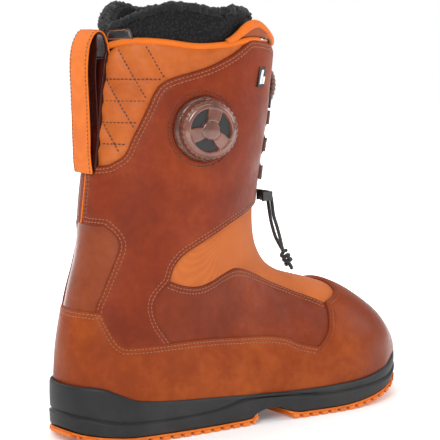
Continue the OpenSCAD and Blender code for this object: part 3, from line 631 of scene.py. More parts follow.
MAT = {
    "shell": leather("shell_leather", "#571b09", "#772b10", "#923f1a", rough=0.42),
    "vamp": leather("vamp_leather", "#571d0b", "#752d12", "#8f3f1c", rough=0.44),
    # toe=True paints shade on the front of the toe and makes it glossier.
    "rand": leather("rand_leather", "#6a2508", "#86370d", "#a55019", rough=0.42, toe=True),
    "collar": leather("collar_leather", "#8a3f15", "#aa5522", "#bd6a31", rough=0.44, grain=0.7,
                      edge_dark=0.2),
    "stay": leather("stay_leather", "#240806", "#380f0a", "#521b12", rough=0.24, shine=0.2),
    "gloss": leather("gloss_leather", "#5e2410", "#7c3618", "#924723", rough=0.26, shine=0.35),
    "tongue": leather("tongue_leather", "#6b2f18", "#8a4524", "#9f5630", rough=0.46),
    "gusset": weave("gusset_fabric", "#a5521f", "#c46a2e", scale=1500, rough=0.8, sheen=0.08,
                    depth=0.00008),
    "orange": weave("orange_trim", "#c25a06", "#da7010", scale=1700, rough=0.6, sheen=0.05,
                    depth=0.0001),
    "lining": weave("lining_knit", "#2b2626", "#4a4443", scale=1500),
    "liner": dotted_mesh("liner_mesh", "#030304", "#1c1c1f"),
    "fleece": fleece("liner_binding", "#111114"),
    "midsole": rubber("midsole_rubber", "#1d1e20", "#141517", rough=0.5),
    "outsole": rubber("outsole_rubber", "#e87a22", "#cf6718", rough=0.55),
    "dial": plastic("dial_plastic", "#5c3122", "#401d12", rough=0.24, coat=0.4, haze=0.05),
    "knob": plastic("knob_plastic", "#7a4735", "#52291c", rough=0.18, coat=0.9, haze=0.1),
    "grip": plastic("grip_rubber", "#6f3d2b", "#4a2416", rough=0.34, coat=0.3),
    "black": plastic("black_plastic", "#141416", "#0a0a0b", rough=0.35, coat=0.2),
    "guide": plastic("guide_plastic", "#5c2e22", "#42200f", rough=0.35, coat=0.2),
    "white": plastic("white_plastic", "#f2f1ee", "#e4e2dd", rough=0.35, coat=0.2),
    "cord": weave("braided_cord", "#0b0b0c", "#2c2c30", scale=3200, rough=0.7, depth=0.0003),
    "steel": metal("steel", "#b9bdc0"),
    "thread_light": weave("thread_tan", "#8c4d28", "#ac6b3c", scale=3000, rough=0.6),
    "thread_dark": weave("thread_brown", "#3c170d", "#5a2615", scale=3000, rough=0.6),
    "thread_orange": weave("thread_orange", "#b34f10", "#d46f22", scale=3000, rough=0.6),
    "board": weave("fibre_board", "#9c8560", "#bfa780", scale=700),
    "foam": rubber("moulded_foam", "#3f5d73", "#344f63", rough=0.85),
    "stiff": plastic("stiffener", "#cfc9bd", "#b5ad9e", rough=0.5, coat=0.0),
    "web": weave("webbing", "#45484a", "#66696c", scale=1700),
}


def dress(obj, material):
    obj.data.materials.clear()
    obj.data.materials.append(MAT[material])
    return obj


def dress_node(name, material):
    """Give a CAD node that stays in view its procedural material."""
    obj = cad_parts[name]
    for slot in obj.material_slots:
        slot.material = MAT[material]
    if not obj.material_slots:
        obj.data.materials.append(MAT[material])


# ---------------------------------------------------------------- how pieces are placed


def flex(obj, slot, *nodes):
    """A piece baked into place, with the CAD parts it replaces hidden."""
    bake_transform(obj)
    if nodes:
        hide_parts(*nodes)


def ride(obj, body, slot, *nodes):
    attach(obj, body)
    if nodes:
        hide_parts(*nodes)


# ---------------------------------------------------------------- panel outlines

wall_top = height_of(WALL_TOP)
rim = height_of(RIM)
liner_top = height_of(LINER_TOP)
tongue_top = height_of(TONGUE_TOP)
tongue_low = height_of(TONGUE_LOW)

collar_zone = polygon_distance(curve(COLLAR), [(98, 330), (-50, 330)])
achilles_zone = polygon_distance(curve(ACHILLES), [(-60, 80)])
rand_zone = polygon_distance(curve(RAND), back_to_front(TOE_EDGE), curve(TOE_TOP),
                             [(300, 112), (300, -5), (-60, -5)])
shaft_zone = polygon_distance([(-70, 60), (25, 60)], back_to_front(VAMP_REAR),
                              curve(GUSSET_TOP), [(160, 330), (-70, 330)])
vamp_zone = polygon_distance(curve(GUSSET_LOW), curve(shifted(TOE_EDGE, 9, 0)),
                             [(153, 40), (15, 40)], back_to_front(shifted(VAMP_REAR, -9, 0)),
                             [(14, 118)])
gusset_zone = polygon_distance([(14, 113)], curve(shifted(GUSSET_TOP, -4, 8)),
                               [(215, 173), (215, 112)],
                               back_to_front(shifted(TOE_TOP, 9, -4)),
                               back_to_front(shifted(GUSSET_LOW, 0, -9)))


def rand_region(p):
    return np.minimum(rand_zone(p), p[:, 2] - wall_top(p[:, 0]) + 9)


def throat(p, half=THROAT_HALF):
    """Positive outside the front opening between the shaft's two edges."""
    return np.where(p[:, 0] > 60, np.abs(p[:, 1]) - half, 99.0)


def shaft_region(side):
    def region(p):
        f = np.minimum(shaft_zone(p), -collar_zone(p))
        f = np.minimum(f, -achilles_zone(p))
        f = np.minimum(f, rim(p[:, 0]) - p[:, 2])
        f = np.minimum(f, throat(p))
        seam = np.where(p[:, 0] < 20, SEAM_Y, 0.0)
        return np.minimum(f, side * (p[:, 1] - seam))
    return region


def vamp_region(side):
    def region(p):
        f = np.minimum(vamp_zone(p), 35.0)
        return np.minimum(f, side * p[:, 1])
    return region


def collar_region(p):
    f = np.minimum(collar_zone(p) + 8, rim(p[:, 0]) + 0.5 - p[:, 2])
    return np.minimum(f, 96 - p[:, 0])


def achilles_region(p):
    f = np.minimum(achilles_zone(p) + 8, 30 - p[:, 0])
    return np.minimum(f, p[:, 2] - 84)


def stay_region(p):
    f = np.minimum(STAY_HALF - np.abs(p[:, 1] - SEAM_Y), p[:, 2] - STAY_LOW)
    f = np.minimum(f, rim(p[:, 0]) - p[:, 2] + 1)
    return np.minimum(f, 30 - p[:, 0])


# ---------------------------------------------------------------- leather and fabric panels

QUILT_ROW = 15.0
QUILT_TOP_ROW = 255.0
QUILT_SLANT = 1.38
QUILT_PITCH = 29.8
QUILT_FROM = 297.0
QUILT_FRONT = 27.0


def wrapped(v, pitch):
    return (v + pitch / 2) % pitch - pitch / 2


def quilt_lines(p, arc):
    """Distances to the nearest level seam and to the nearest slanting seam."""
    level = wrapped(p[:, 2] - QUILT_TOP_ROW, QUILT_ROW)
    level = np.where(p[:, 2] > QUILT_TOP_ROW + QUILT_ROW / 2, 99, level)
    slope = wrapped(p[:, 2] + QUILT_SLANT * np.abs(arc) - QUILT_FROM, QUILT_PITCH)
    slope = np.where(p[:, 0] > QUILT_FRONT, 99, slope)
    return np.abs(level), np.abs(slope) / math.hypot(1, QUILT_SLANT)


def quilting(p, arc, d):
    level, slope = quilt_lines(p, arc)
    edge = np.clip(collar_zone(p) + 0.5, 0, 30)
    near = np.minimum(np.minimum(level, slope), np.minimum(edge, np.clip(d, 0, 30)))
    return 2.2 * (1 - np.exp(-(near / 4.2) ** 1.5)) - 0.5 * np.exp(-(near / 0.8) ** 2)


def creases(p, arc, d):
    """Slow unevenness of leather pulled over a last."""
    x, y, z = p.T
    return (0.22 * np.sin(x / 13 + 0.6 * np.sin(z / 17)) * np.sin(z / 11 + y / 19)
            + 0.12 * np.sin(x / 5.1 + y / 7) * np.sin(z / 6.3))


def vamp_creases(p, arc, d):
    """Flex creases across the ball of the foot."""
    x, y, z = p.T
    flexing = np.exp(-((x - 140) / 26) ** 2)
    return creases(p, arc, d) - 0.35 * flexing * np.abs(np.sin((x + 0.25 * z) / 6.5)) ** 3


def gusset_folds(p, arc, d):
    """Soft folds that run round the throat, where the ankle bends."""
    x, y, z = p.T
    reach = np.clip((x - 45) / 60, 0, 1)
    fold = np.exp(-((z - 0.42 * (150 - x) - 102) / 5.5) ** 2)
    fold_low = np.exp(-((z - 0.3 * (160 - x) - 96) / 4.5) ** 2)
    return 0.9 * reach * fold - 0.8 * reach * fold_low + 0.2 * np.sin(x / 9) * np.sin(z / 8)


skin = Skin(STATIONS)
DOUBLE = (2.3, 4.9)


def not_under_rand(p):
    return rand_zone(p) < -0.8


def visible_shaft_seam(p):
    open_edge = (p[:, 0] > 105) & (np.abs(p[:, 1]) < THROAT_HALF + 7)
    back_seam = (p[:, 1] > SEAM_Y - 0.5) & (p[:, 0] < 20) & (p[:, 2] > 150)
    return not_under_rand(p) & ~open_edge & ~back_seam


def eyestay_seam(p):
    return (p[:, 0] > 105) & (np.abs(p[:, 1]) < THROAT_HALF + 7)


def leather_panels():
    for side, word in SIDES:
        panel, lines = sheet(f"shaft_panel_{word}", skin, shaft_region(side), -1.5, 0.3,
                             under=0.6, relief=creases, seams=DOUBLE)
        flex(dress(panel, "shell"), "shell_leather", f"shaft_{word}", f"ankle_{word}")
        rows = lines[DOUBLE[0]] + lines[DOUBLE[1]]
        seam = stitches(f"shaft_stitching_{word}", rows, visible_shaft_seam)
        flex(dress(seam, "thread_light"), "shell_leather")
        edge = stitches(f"eyestay_stitching_{word}", lines[DOUBLE[0]], eyestay_seam)
        flex(dress(edge, "thread_light"), "shell_leather")

        panel, lines = sheet(f"vamp_panel_{word}", skin, vamp_region(side), -2.6, -0.9,
                             under=0.6, relief=vamp_creases, seams=DOUBLE)
        flex(dress(panel, "vamp"), "shell_leather", f"vamp_{word}")

        def vamp_seam(p):
            under_shaft = (shaft_zone(p) > -1) & (p[:, 0] < 30)
            return not_under_rand(p) & ~under_shaft & (np.abs(p[:, 1]) > 8)

        rows = lines[DOUBLE[0]] + lines[DOUBLE[1]]
        seam = stitches(f"vamp_stitching_{word}", rows, vamp_seam)
        flex(dress(seam, "thread_light"), "shell_leather")

    rand, lines = sheet("toe_and_heel_rand", skin, rand_region, -1.4, 0.7, under=0.9,
                        relief=creases, seams=DOUBLE)
    flex(dress(rand, "rand"), "rand_leather", "toe_rand")

    def rand_seam(p):
        on_toe = p[:, 0] > 150
        above_sole = p[:, 2] > wall_top(p[:, 0]) + 4
        return above_sole & ~on_toe

    def toe_seam(p):
        return (p[:, 0] > 150) & (p[:, 2] > wall_top(p[:, 0]) + 8)

    seam = stitches("rand_stitching", lines[DOUBLE[0]] + lines[DOUBLE[1]], rand_seam)
    flex(dress(seam, "thread_light"), "rand_leather")
    seam = stitches("toe_cap_stitching", lines[DOUBLE[0]], toe_seam, width=0.32)
    flex(dress(seam, "thread_dark"), "rand_leather")

    panel, _ = sheet("achilles_cover", skin, achilles_region, -2.6, -1.0, under=0.6,
                     relief=creases)
    flex(dress(panel, "gloss"), "gloss_leather", "achilles_panel")

    panel, _ = sheet("ankle_gusset_cover", skin, gusset_zone, -3.6, -2.2, under=0.5,
                     relief=gusset_folds)
    flex(dress(panel, "gusset"), "gusset_fabric", "ankle_gusset")


def quilted_collar():
    panel, _ = sheet("collar_quilt", skin, collar_region, -3.2, -1.6, under=0.6,
                     relief=quilting)
    ride(dress(panel, "collar"), "shaft", "collar_leather", "quilted_collar")
    data = skin.data
    band = (data[:, 2] > 186) & (data[:, 2] < 290)
    tris = skin.tris[band[skin.tris].all(1)]
    tris = tris[(np.abs(data[tris, 6]).max(1) - np.abs(data[tris, 6]).min(1)) < 8]
    height = -1.9
    lines = []

    def trace(values, level):
        cols = np.column_stack([data, values])
        new, _, cut = split(cols, tris, 7, level)
        points = new[:, 0:3] + new[:, 3:6] * height
        return chains(cut, points, new[:, 3:6])

    for k in range(5):
        lines += trace(data[:, 2], QUILT_TOP_ROW - k * QUILT_ROW + 0.01)
    slope = data[:, 2] + QUILT_SLANT * np.abs(data[:, 6])
    for k in range(-4, 4):
        lines += trace(slope, QUILT_FROM + k * QUILT_PITCH + 0.01)

    def on_collar(p):
        clear = (collar_zone(p) > 1.0) & (rim(p[:, 0]) - p[:, 2] > 4.0)
        under_stay = (np.abs(p[:, 1] - SEAM_Y) < STAY_HALF) & (p[:, 0] < 20)
        return clear & (p[:, 0] < QUILT_FRONT) & ~under_stay

    seam = stitches("collar_stitching", lines, on_collar, pitch=2.9, length=2.0, width=0.48,
                    lift=0.25)
    ride(dress(seam, "thread_dark"), "shaft", "collar_leather")


def ring_at(height_line, depth, angles, source=STATIONS):
    """Points round the shaft at the height that a side line gives."""
    points = []
    top, low = source[0], source[1]
    share = (280 - low[1]) / (top[1] - low[1])
    s = low * (1 - share) + top * share
    for a in angles:
        c, sn = math.cos(a), math.sin(a)
        n = FRONT_ROUNDNESS if c >= 0 else s[6]
        reach = abs(c) ** (2 / n)
        along = s[5] + (1 - s[5]) * reach if c >= 0 else s[5] - (1 + s[5]) * reach
        y = -((s[4] + depth) * math.copysign(abs(sn) ** (2 / n), sn))
        x = (s[0] + s[2]) / 2 + ((s[0] - s[2]) / 2 + depth) * along
        points.append((x, y, float(height_line(x))))
    return np.array(points)


def collar_piping():
    angles = np.radians(np.linspace(72, 288, 110))
    path = ring_at(rim, -2.6, angles)
    path[:, 2] -= 0.2
    piping = tube("collar_edge_piping", path, 2.5, 14)
    ride(dress(piping, "orange"), "shaft", "orange_trim", "collar_piping")


def back_stay():
    panel, _ = sheet("back_stay_strip", skin, stay_region, -0.6, 1.5, under=0.8,
                     relief=lambda p, arc, d: 0.15 * np.sin(p[:, 2] / 9), seams=(2.0,))
    ride(dress(panel, "stay"), "shaft", "stay_leather", "back_stay")
    path = []
    for z in np.linspace(153.5, 193, 32):
        near = skin.data[(np.abs(skin.data[:, 2] - z) < 2.2)
                         & (np.abs(skin.data[:, 1] - SEAM_Y) < 1.6) & (skin.data[:, 0] < 20)]
        path.append((near[:, 0].mean() - 0.35, SEAM_Y - 0.4, z))
    edge = tube("back_seam_edge", np.array(path), 0.75, 10, up=(0, 1, 0))
    flex(dress(edge, "orange"), "orange_trim")


LOOP_LINE = [(-18.4, 189), (-19.4, 196), (-19.9, 204), (-20.1, 215), (-20.8, 240), (-21.6, 262),
             (-20.2, 276), (-16.8, 284), (-12.8, 287.2), (-8.6, 285.2), (-6.0, 279), (-4.6, 268)]


def strap_mesh(name, line, half, thick, offset=0.0, crown=0.5, sag=0.0):
    """A flat strap along a side line, with rounded edges; offset moves it off the line, and sag
    lets it hang away from the line between its ends."""
    p = curve(line, 10)
    ahead = np.gradient(p, axis=0)
    ahead /= np.linalg.norm(ahead, axis=1, keepdims=True)
    out = np.stack([-ahead[:, 1], ahead[:, 0]], 1)
    section = []
    for a in np.linspace(0, 2 * math.pi, 40, endpoint=False):
        c, s = math.cos(a), math.sin(a)
        section.append((half * math.copysign(abs(c) ** 0.25, c),
                        thick / 2 * math.copysign(abs(s) ** 0.6, s)))
    rings = []
    for i in range(len(p)):
        wave = 1 + 0.02 * math.sin(i / 4)
        for y, h in section:
            bow = crown * (1 - (y / half) ** 2)
            hang = sag * min(1, i / 22, max(0, (len(p) - 34 - i) / 16))
            q = p[i] + out[i] * (h + offset + bow - hang)
            rings.append((q[0], SEAM_Y + y * wave, q[1]))
    return make_object(name, rings, capped_bands(len(p), len(section))), p, out


LOOP_HALF = 11.2


def pull_loop():
    half = LOOP_HALF
    outer, p, out = strap_mesh("pull_loop_webbing", LOOP_LINE, half, 1.5, offset=0.9)
    ride(dress(outer, "orange"), "shaft", "orange_trim", "pull_loop")
    inner, _, _ = strap_mesh("pull_loop_backing", LOOP_LINE, half - 0.2, 1.4, offset=-0.6,
                             sag=5.5)
    ride(dress(inner, "stay"), "shaft", "stay_leather")
    lines = []
    for y in (-half + 1.6, half - 1.6):
        points = np.array([(q[0] + o[0] * 1.75, SEAM_Y + y, q[1] + o[1] * 1.75)
                           for q, o in zip(p, out)])
        normals = np.array([(o[0], 0, o[1]) for o in out])
        lines.append((points[:-16], normals[:-16]))
    seam = stitches("pull_loop_stitching", lines, pitch=2.9, length=1.6, width=0.36)
    ride(dress(seam, "thread_dark"), "shaft", "orange_trim")


# ---------------------------------------------------------------- liner and lining

def offset_stations(depth, setback):
    """Stations moved in by depth, with the front line set further back."""
    s = STATIONS.copy()
    for column, hand, extra in ((0, 1, setback), (2, -1, np.zeros(len(s)))):
        line = STATIONS[:, column:column + 2]
        ahead = np.gradient(line, axis=0)
        ahead /= np.linalg.norm(ahead, axis=1, keepdims=True)
        out = hand * np.stack([-ahead[:, 1], ahead[:, 0]], 1)
        s[:, column:column + 2] = line + out * (depth - extra)[:, None]
    s[:, 4] = np.maximum(s[:, 4] + depth, 3)
    return s[:-1]


def liner():
    depth = np.array([-5.6, -5.6, -6.4, -7.4] + [-8.0] * 12)
    setback = np.array([18, 16, 10, 4] + [0] * 12, float)
    liner_skin = Skin(offset_stations(depth, setback), ring=150, step=3.0)

    def region(p):
        return liner_top(p[:, 0]) - 2.5 - p[:, 2]

    def padding(p, arc, d):
        above_rim = np.clip((p[:, 2] - 279) / 9, 0, 1)
        bulge = 3.6 * above_rim * np.clip((75 - p[:, 0]) / 40, 0, 1)
        soft = bulge + 0.9 * np.sin(p[:, 0] / 21 + 1) * np.sin(p[:, 2] / 13) * (p[:, 2] > 200)
        seam = -1.2 * np.exp(-((p[:, 0] - 36 + 0.2 * (300 - p[:, 2])) / 1.6) ** 2)
        return soft + seam * (p[:, 2] > 200)

    body, lines = sheet("liner_body", liner_skin, region, -2.5, 0.0, under=5.6,
                        relief=padding, rounding=3.2, seams=(1.6,))
    flex(dress(body, "liner"), "liner_fabric", "liner_boot", "liner_flex", "liner_cuff")
    p, n = lines[1.6][0]
    keep = np.arange(0, len(p), 3)
    path = p[keep] - n[keep] * 2.6 + np.array([0, 0, 1.4])
    radius = 3.9 + 0.35 * rng.standard_normal(len(path))
    edge = tube("liner_binding", path, radius, 20, closed=True)
    fuzz(edge, 0.55)
    ride(dress(edge, "fleece"), "shaft", "liner_fabric")

    def label_region(p):
        across = polygon_distance([(-8, 280), (9, 281), (8.5, 290), (-3, 288.5)])
        return np.minimum(across(p), -p[:, 1] - 2)

    label, lines = sheet("liner_label_patch", liner_skin, label_region, 2.9, 3.9, under=2.4,
                         rounding=0.8, seams=(1.5,))
    ride(dress(label, "black"), "shaft", "badge_black", "liner_label")
    seam = stitches("liner_label_edge", lines[1.5], pitch=2.0, length=2.1, width=0.3)
    ride(dress(seam, "thread_light"), "shaft", "badge_black")


def fuzz(obj, amount):
    """Roughen a piece as brushed fabric."""
    mesh = obj.data
    co = np.empty(len(mesh.vertices) * 3)
    mesh.vertices.foreach_get("co", co)
    normals = np.empty(len(mesh.vertices) * 3)
    mesh.vertices.foreach_get("normal", normals)
    shift = rng.standard_normal(len(mesh.vertices)) * amount * MM
    co = co.reshape(-1, 3) + normals.reshape(-1, 3) * shift[:, None]
    mesh.vertices.foreach_set("co", co.reshape(-1))
    mesh.update()


LINING_INSET = 3.4


def lining():
    count = len(STATIONS)
    lining_skin = Skin(offset_stations(np.full(count, -LINING_INSET), np.zeros(count)),
                       ring=110, step=5.0)

    def region(p):
        below_rim = rim(p[:, 0]) - LINING_INSET - p[:, 2]
        low = p[:, 2] < 168
        return np.where(low, below_rim, np.minimum(below_rim, throat(p, THROAT_HALF + 1)))

    body, _ = sheet("padded_lining", lining_skin, region, -1.0, -0.2, under=0.6)
    flex(dress(body, "lining"), "lining_fabric", "foot_lining", "shaft_lining")


# ---------------------------------------------------------------- tongue

TONGUE_HALF = THROAT_HALF - 2.5


def tongue():
    def neck(p):
        f = np.minimum(TONGUE_HALF - np.abs(p[:, 1]), p[:, 2] - 158)
        return np.minimum(f, p[:, 0] - 70)

    def region(p):
        head = np.minimum(p[:, 2] - tongue_low(p[:, 0]) - 4.5, p[:, 0] - 69)
        f = np.maximum(neck(p), head)
        return np.minimum(f, tongue_top(p[:, 0]) - 2.0 - p[:, 2])

    def pads(p, arc, d):
        ribs = 0.8 * np.exp(-((np.abs(p[:, 1]) - 10) / 3.0) ** 2) * (p[:, 2] < 222)
        return ribs + 0.5 * creases(p, arc, d)

    body, _ = sheet("tongue_body", skin, region, -3.5, -0.8, under=3.0, relief=pads,
                    rounding=2.2, seams=(1.8,))
    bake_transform(dress(body, "tongue"))
    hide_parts("tongue")

    angles = np.radians(np.linspace(-101, 101, 110))
    path = ring_at(lambda x: float(tongue_top(x)), -1.9, angles)
    path[:, 2] -= 2.2
    radius = 2.5 + 1.0 * np.exp(-((path[:, 0] - 84) / 9) ** 2)
    roll = tube("tongue_edge_roll", path, radius, 16)
    ride(dress(roll, "orange"), "tongue", "orange_trim", "tongue_binding")


# ---------------------------------------------------------------- sole

def midsole():
    outline = closed_curve(SOLE_OUTLINE, 14)
    n = len(outline)
    ahead = np.roll(outline, -1, 0) - np.roll(outline, 1, 0)
    ahead /= np.linalg.norm(ahead, axis=1, keepdims=True)
    inward = np.stack([-ahead[:, 1], ahead[:, 0]], 1)
    centre = np.array([100.0, 0.0])
    if ((centre - outline[0]) @ inward[0]) < 0:
        inward = -inward
    bottom = height_of(SOLE_BOTTOM)(outline[:, 0])
    top = wall_top(outline[:, 0])
    ledge = height_of(WALL_LEDGE)(outline[:, 0])
    rings = []

    def ring(inset, z):
        xy = outline + inward * np.broadcast_to(inset, n)[:, None]
        rings.append(np.column_stack([xy, np.broadcast_to(z, n)]))

    ring(16.0, bottom + 0.1)
    ring(8.0, bottom)
    ring(3.2, bottom)
    ring(2.0, bottom + 0.35)
    ring(1.2, bottom + 1.4)
    ring(0.9, bottom + 3.0)
    ring(0.7, ledge - 2.4)
    ring(0.4, ledge - 1.0)
    ring(0.5, ledge - 0.45)
    ring(2.0, ledge + 0.1)
    ring(2.3, ledge + 0.6)
    ring(1.7, ledge + 1.4)
    ring(1.1, ledge + 3.0)
    ring(0.8, (ledge + top) / 2)
    ring(0.9, top - 2.6)
    ring(1.3, top - 1.0)
    ring(2.0, top - 0.25)
    ring(3.0, top)
    ring(4.0, top - 0.4)
    ring(4.6, top - 1.6)
    ring(6.0, top - 9.0)
    ring(14.0, bottom + 6.0)
    obj = make_object("midsole_cup", np.vstack(rings), capped_bands(len(rings), n))
    repair(obj, outward=True)
    ride(dress(obj, "midsole"), "foot", "midsole_foam", "midsole")


# ---------------------------------------------------------------- dials

SIDE_DIAL = Matrix.Translation(Vector((45, -52.2, 220)) * MM) @ Matrix.Rotation(
    math.radians(-17), 4, "Z") @ Matrix.Rotation(math.radians(90), 4, "X")
FRONT_DIAL = Matrix.Translation(Vector((128.9, 0, 246)) * MM) @ Matrix.Rotation(
    math.radians(96.8), 4, "Y")


def turned(name, profile, steps=96, cut=None):
    """A turned part from (radius, height) points; cut may change radius and height by angle."""
    prof = np.array(profile, float)
    ang = np.arange(steps) * 2 * np.pi / steps
    r = np.repeat(prof[:, 0][:, None], steps, 1)
    h = np.repeat(prof[:, 1][:, None], steps, 1)
    if cut is not None:
        r, h = cut(r, h, ang[None, :])
    pts = np.stack([r * np.cos(ang), r * np.sin(ang), h], -1)
    obj = make_object(name, pts.reshape(-1, 3), bands(len(prof), steps))
    repair(obj, weld=1e-6, outward=True)
    return obj


def fine_profile(points, step=0.5):
    """Add points along a profile so that ribs and windows have something to move."""
    p = np.array(points, float)
    out = []
    for a, b in zip(p[:-1], p[1:]):
        n = max(1, int(np.linalg.norm(b - a) / step))
        out += [a + (b - a) * t for t in np.arange(n) / n]
    return out + [p[-1]]


def dial(word, place, bezel_r, knob_r, height, body, knob_body):
    """Bezel, ribbed grip and spoked knob of one lace dial."""
    def notched(r, h, ang):
        gap = np.abs(wrapped(ang * 180 / np.pi - 30, 60)) < 3
        outer = (r > bezel_r - 3.4) & (h > 3.4)
        return np.where(gap & outer, r - 0.8, r), np.where(gap & outer, h - 0.8, h)

    bezel = turned(f"{word}_dial_bezel", fine_profile([
        (bezel_r - 5.9, 0.4), (bezel_r - 5.9, 4.4), (bezel_r - 5.2, 5.4), (bezel_r - 4.0, 5.8),
        (bezel_r - 2.0, 5.4), (bezel_r - 0.9, 4.4), (bezel_r - 0.5, 3.2), (bezel_r - 0.1, 2.6),
        (bezel_r, 1.2), (bezel_r - 0.2, -1.4), (bezel_r - 5.9, -1.4), (bezel_r - 5.9, 0.4)]),
        120, notched)
    rib = 30

    def ribbed(r, h, ang):
        on = (r > knob_r - 0.2) & (h > 6.4) & (h < height - 2.6)
        wave = 0.5 * (1 + np.cos(ang * rib)) ** 0.6
        return np.where(on, r + 1.0 * wave, r), h

    grip = turned(f"{word}_dial_grip", fine_profile([
        (knob_r - 2.0, 6.2), (knob_r + 0.4, 6.2), (knob_r + 1.3, 7.2), (knob_r + 1.5, 9.0),
        (knob_r + 0.9, height - 3.4), (knob_r - 0.2, height - 2.2), (knob_r - 2.4, height - 2.2),
        (knob_r - 2.0, 6.2)]), 240, ribbed)
    hub = 0.34 * knob_r
    rim_r = 0.80 * knob_r

    def windowed(r, h, ang):
        spoke = np.abs(wrapped(ang * 180 / np.pi - 135, 120)) / 60
        inside = np.clip(np.minimum(r - hub, rim_r - r) / 1.4, 0, 1)
        inside *= np.clip((0.86 - spoke) * 6, 0, 1) * np.clip(spoke * 60, 0, 1)
        slot_half = 0.45 + 0.25 * (r - hub) / (rim_r - hub)
        opening = np.clip((spoke - slot_half) * -14, 0, 1)
        sunk = inside * opening * (h > height - 6)
        dish = 0.5 * np.cos(np.clip((r - hub) / (rim_r - hub), 0, 1) * np.pi) * (r > hub)
        return r, h - 6.0 * sunk + 0.3 * dish * (h > height - 6)

    knob = turned(f"{word}_dial_knob", fine_profile([
        (0.01, height - 0.4), (hub * 0.9, height - 0.6), (hub, height - 1.1),
        (hub + 0.6, height - 1.0), (rim_r, height - 1.0), (rim_r + 0.6, height - 0.5),
        (knob_r - 1.2, height - 1.2), (knob_r - 0.4, height - 2.0), (knob_r - 0.5, height - 4.0),
        (knob_r - 2.3, 6.6), (0.01, 6.6)], 0.55), 180, windowed)
    for obj in (bezel, grip, knob):
        obj.data.transform(place)
    ride(dress(bezel, "dial"), body, "dial_plastic", f"{word}_dial_housing")
    ride(dress(grip, "grip"), knob_body, "grip_rubber", f"{word}_knob_grip")
    ride(dress(knob, "knob"), knob_body, "knob_plastic", f"{word}_knob")
    well = turned(f"{word}_dial_well", fine_profile([
        (0.01, height - 3.6), (knob_r - 3.4, height - 3.6), (knob_r - 3.4, 7.2), (0.01, 7.2)]), 48)
    well.data.transform(place)
    ride(dress(well, "black"), knob_body, "spool_plastic")


def nearest_on_skin(points):
    """Drop points onto the outer surface: nearest grid point's plane."""
    data = skin.data
    out, normals = [], []
    for p in points:
        i = int(((data[:, 0:3] - p) ** 2).sum(1).argmin())
        n = data[i, 3:6]
        out.append(p - n * ((p - data[i, 0:3]) @ n))
        normals.append(n)
    return np.array(out), np.array(normals)


def dial_surround(place):
    """A raised leather ring round the side dial, with its stitching."""
    radius = 26.4
    pts = []
    for a in np.linspace(0, 2 * math.pi, 100, endpoint=False):
        v = place @ (Vector((math.cos(a) * radius, math.sin(a) * radius, 0)) * MM)
        pts.append(np.array(v) / MM)
    on, normals = nearest_on_skin(pts)
    closed = (np.vstack([on + normals * 0.25, on[:1] + normals[:1] * 0.25]),
              np.vstack([normals, normals[:1]]))
    seam = stitches("side_dial_stitching", [closed], pitch=2.8, length=1.9, width=0.4)
    ride(dress(seam, "thread_dark"), "shaft", "shell_leather")
    inner = []
    for a in np.linspace(0, 2 * math.pi, 100, endpoint=False):
        v = place @ (Vector((math.cos(a) * 23.6, math.sin(a) * 23.6, 0)) * MM)
        inner.append(np.array(v) / MM)
    on, normals = nearest_on_skin(inner)
    lip = tube("side_dial_surround", on + normals * 0.15, 1.0, 10, closed=True,
               up=(0.29, 0.956, 0))
    ride(dress(lip, "shell"), "shaft", "shell_leather")


# ---------------------------------------------------------------- laces, cord, badge

GUIDE_HEIGHTS = (224.0, 204.0, 184.0)
GUIDE_Y = 31.0
GUIDE_LIFT = 1.1


def front_x(z, y, lift):
    """Surface x at a height and a distance from the middle, plus lift along x."""
    data = skin.data
    near = (np.abs(data[:, 2] - z) < 4) & (np.abs(data[:, 1] - y) < 3.5) & (data[:, 0] > 60)
    return float(data[near, 0].mean()) + lift


def lace_guides():
    for side, word in SIDES:
        for k, z in enumerate(GUIDE_HEIGHTS):
            path = [(front_x(z + dz, side * GUIDE_Y, GUIDE_LIFT), side * (GUIDE_Y + 0.8), z + dz)
                    for dz in np.linspace(-5, 5, 9)]
            guide = tube(f"lace_guide_{word}_{k}", path, 1.9, 14, up=(1, 0, 0))
            ride(dress(guide, "guide"), "shaft", "guide_plastic", "lace_guides")


def front_laces():
    for side, word in SIDES:
        paths = [[(front_x(231, side * 29, 3.0), side * 29, 231),
                  (front_x(236, side * 22, 6.0), side * 22, 236.5),
                  (135, side * 16, 239)]]
        for z in GUIDE_HEIGHTS[:2]:
            low = z - 7
            paths.append([(front_x(low + 3, side * GUIDE_Y, GUIDE_LIFT), side * GUIDE_Y, low + 3),
                          (front_x(low, side * GUIDE_Y, 1.6), side * (GUIDE_Y - 2), low),
                          (front_x(low - 2, side * 18, 2.2), side * 18, low - 2.6),
                          (front_x(low - 4, 0, 2.4), 0, low - 3.4)])
            up = z - 20 + 7
            paths.append([(front_x(up - 3, side * GUIDE_Y, GUIDE_LIFT), side * GUIDE_Y, up - 3),
                          (front_x(up, side * GUIDE_Y, 1.6), side * (GUIDE_Y - 2), up),
                          (front_x(up + 2, side * 18, 2.2), side * 18, up + 2.6),
                          (front_x(up + 3, 0, 4.0), 0, up + 3.4)])
        for k, path in enumerate(paths):
            lace = tube(f"front_lace_{word}_{k}", curve(path, 10), 0.95, 10,
                        up=(1, 0, 0))
            dress(lace, "cord")
            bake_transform(lace)
            if k == 0 and side == -1:
                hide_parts("front_lace")


CORD_PIVOT = np.array([126.0, -22.0, 163.0])


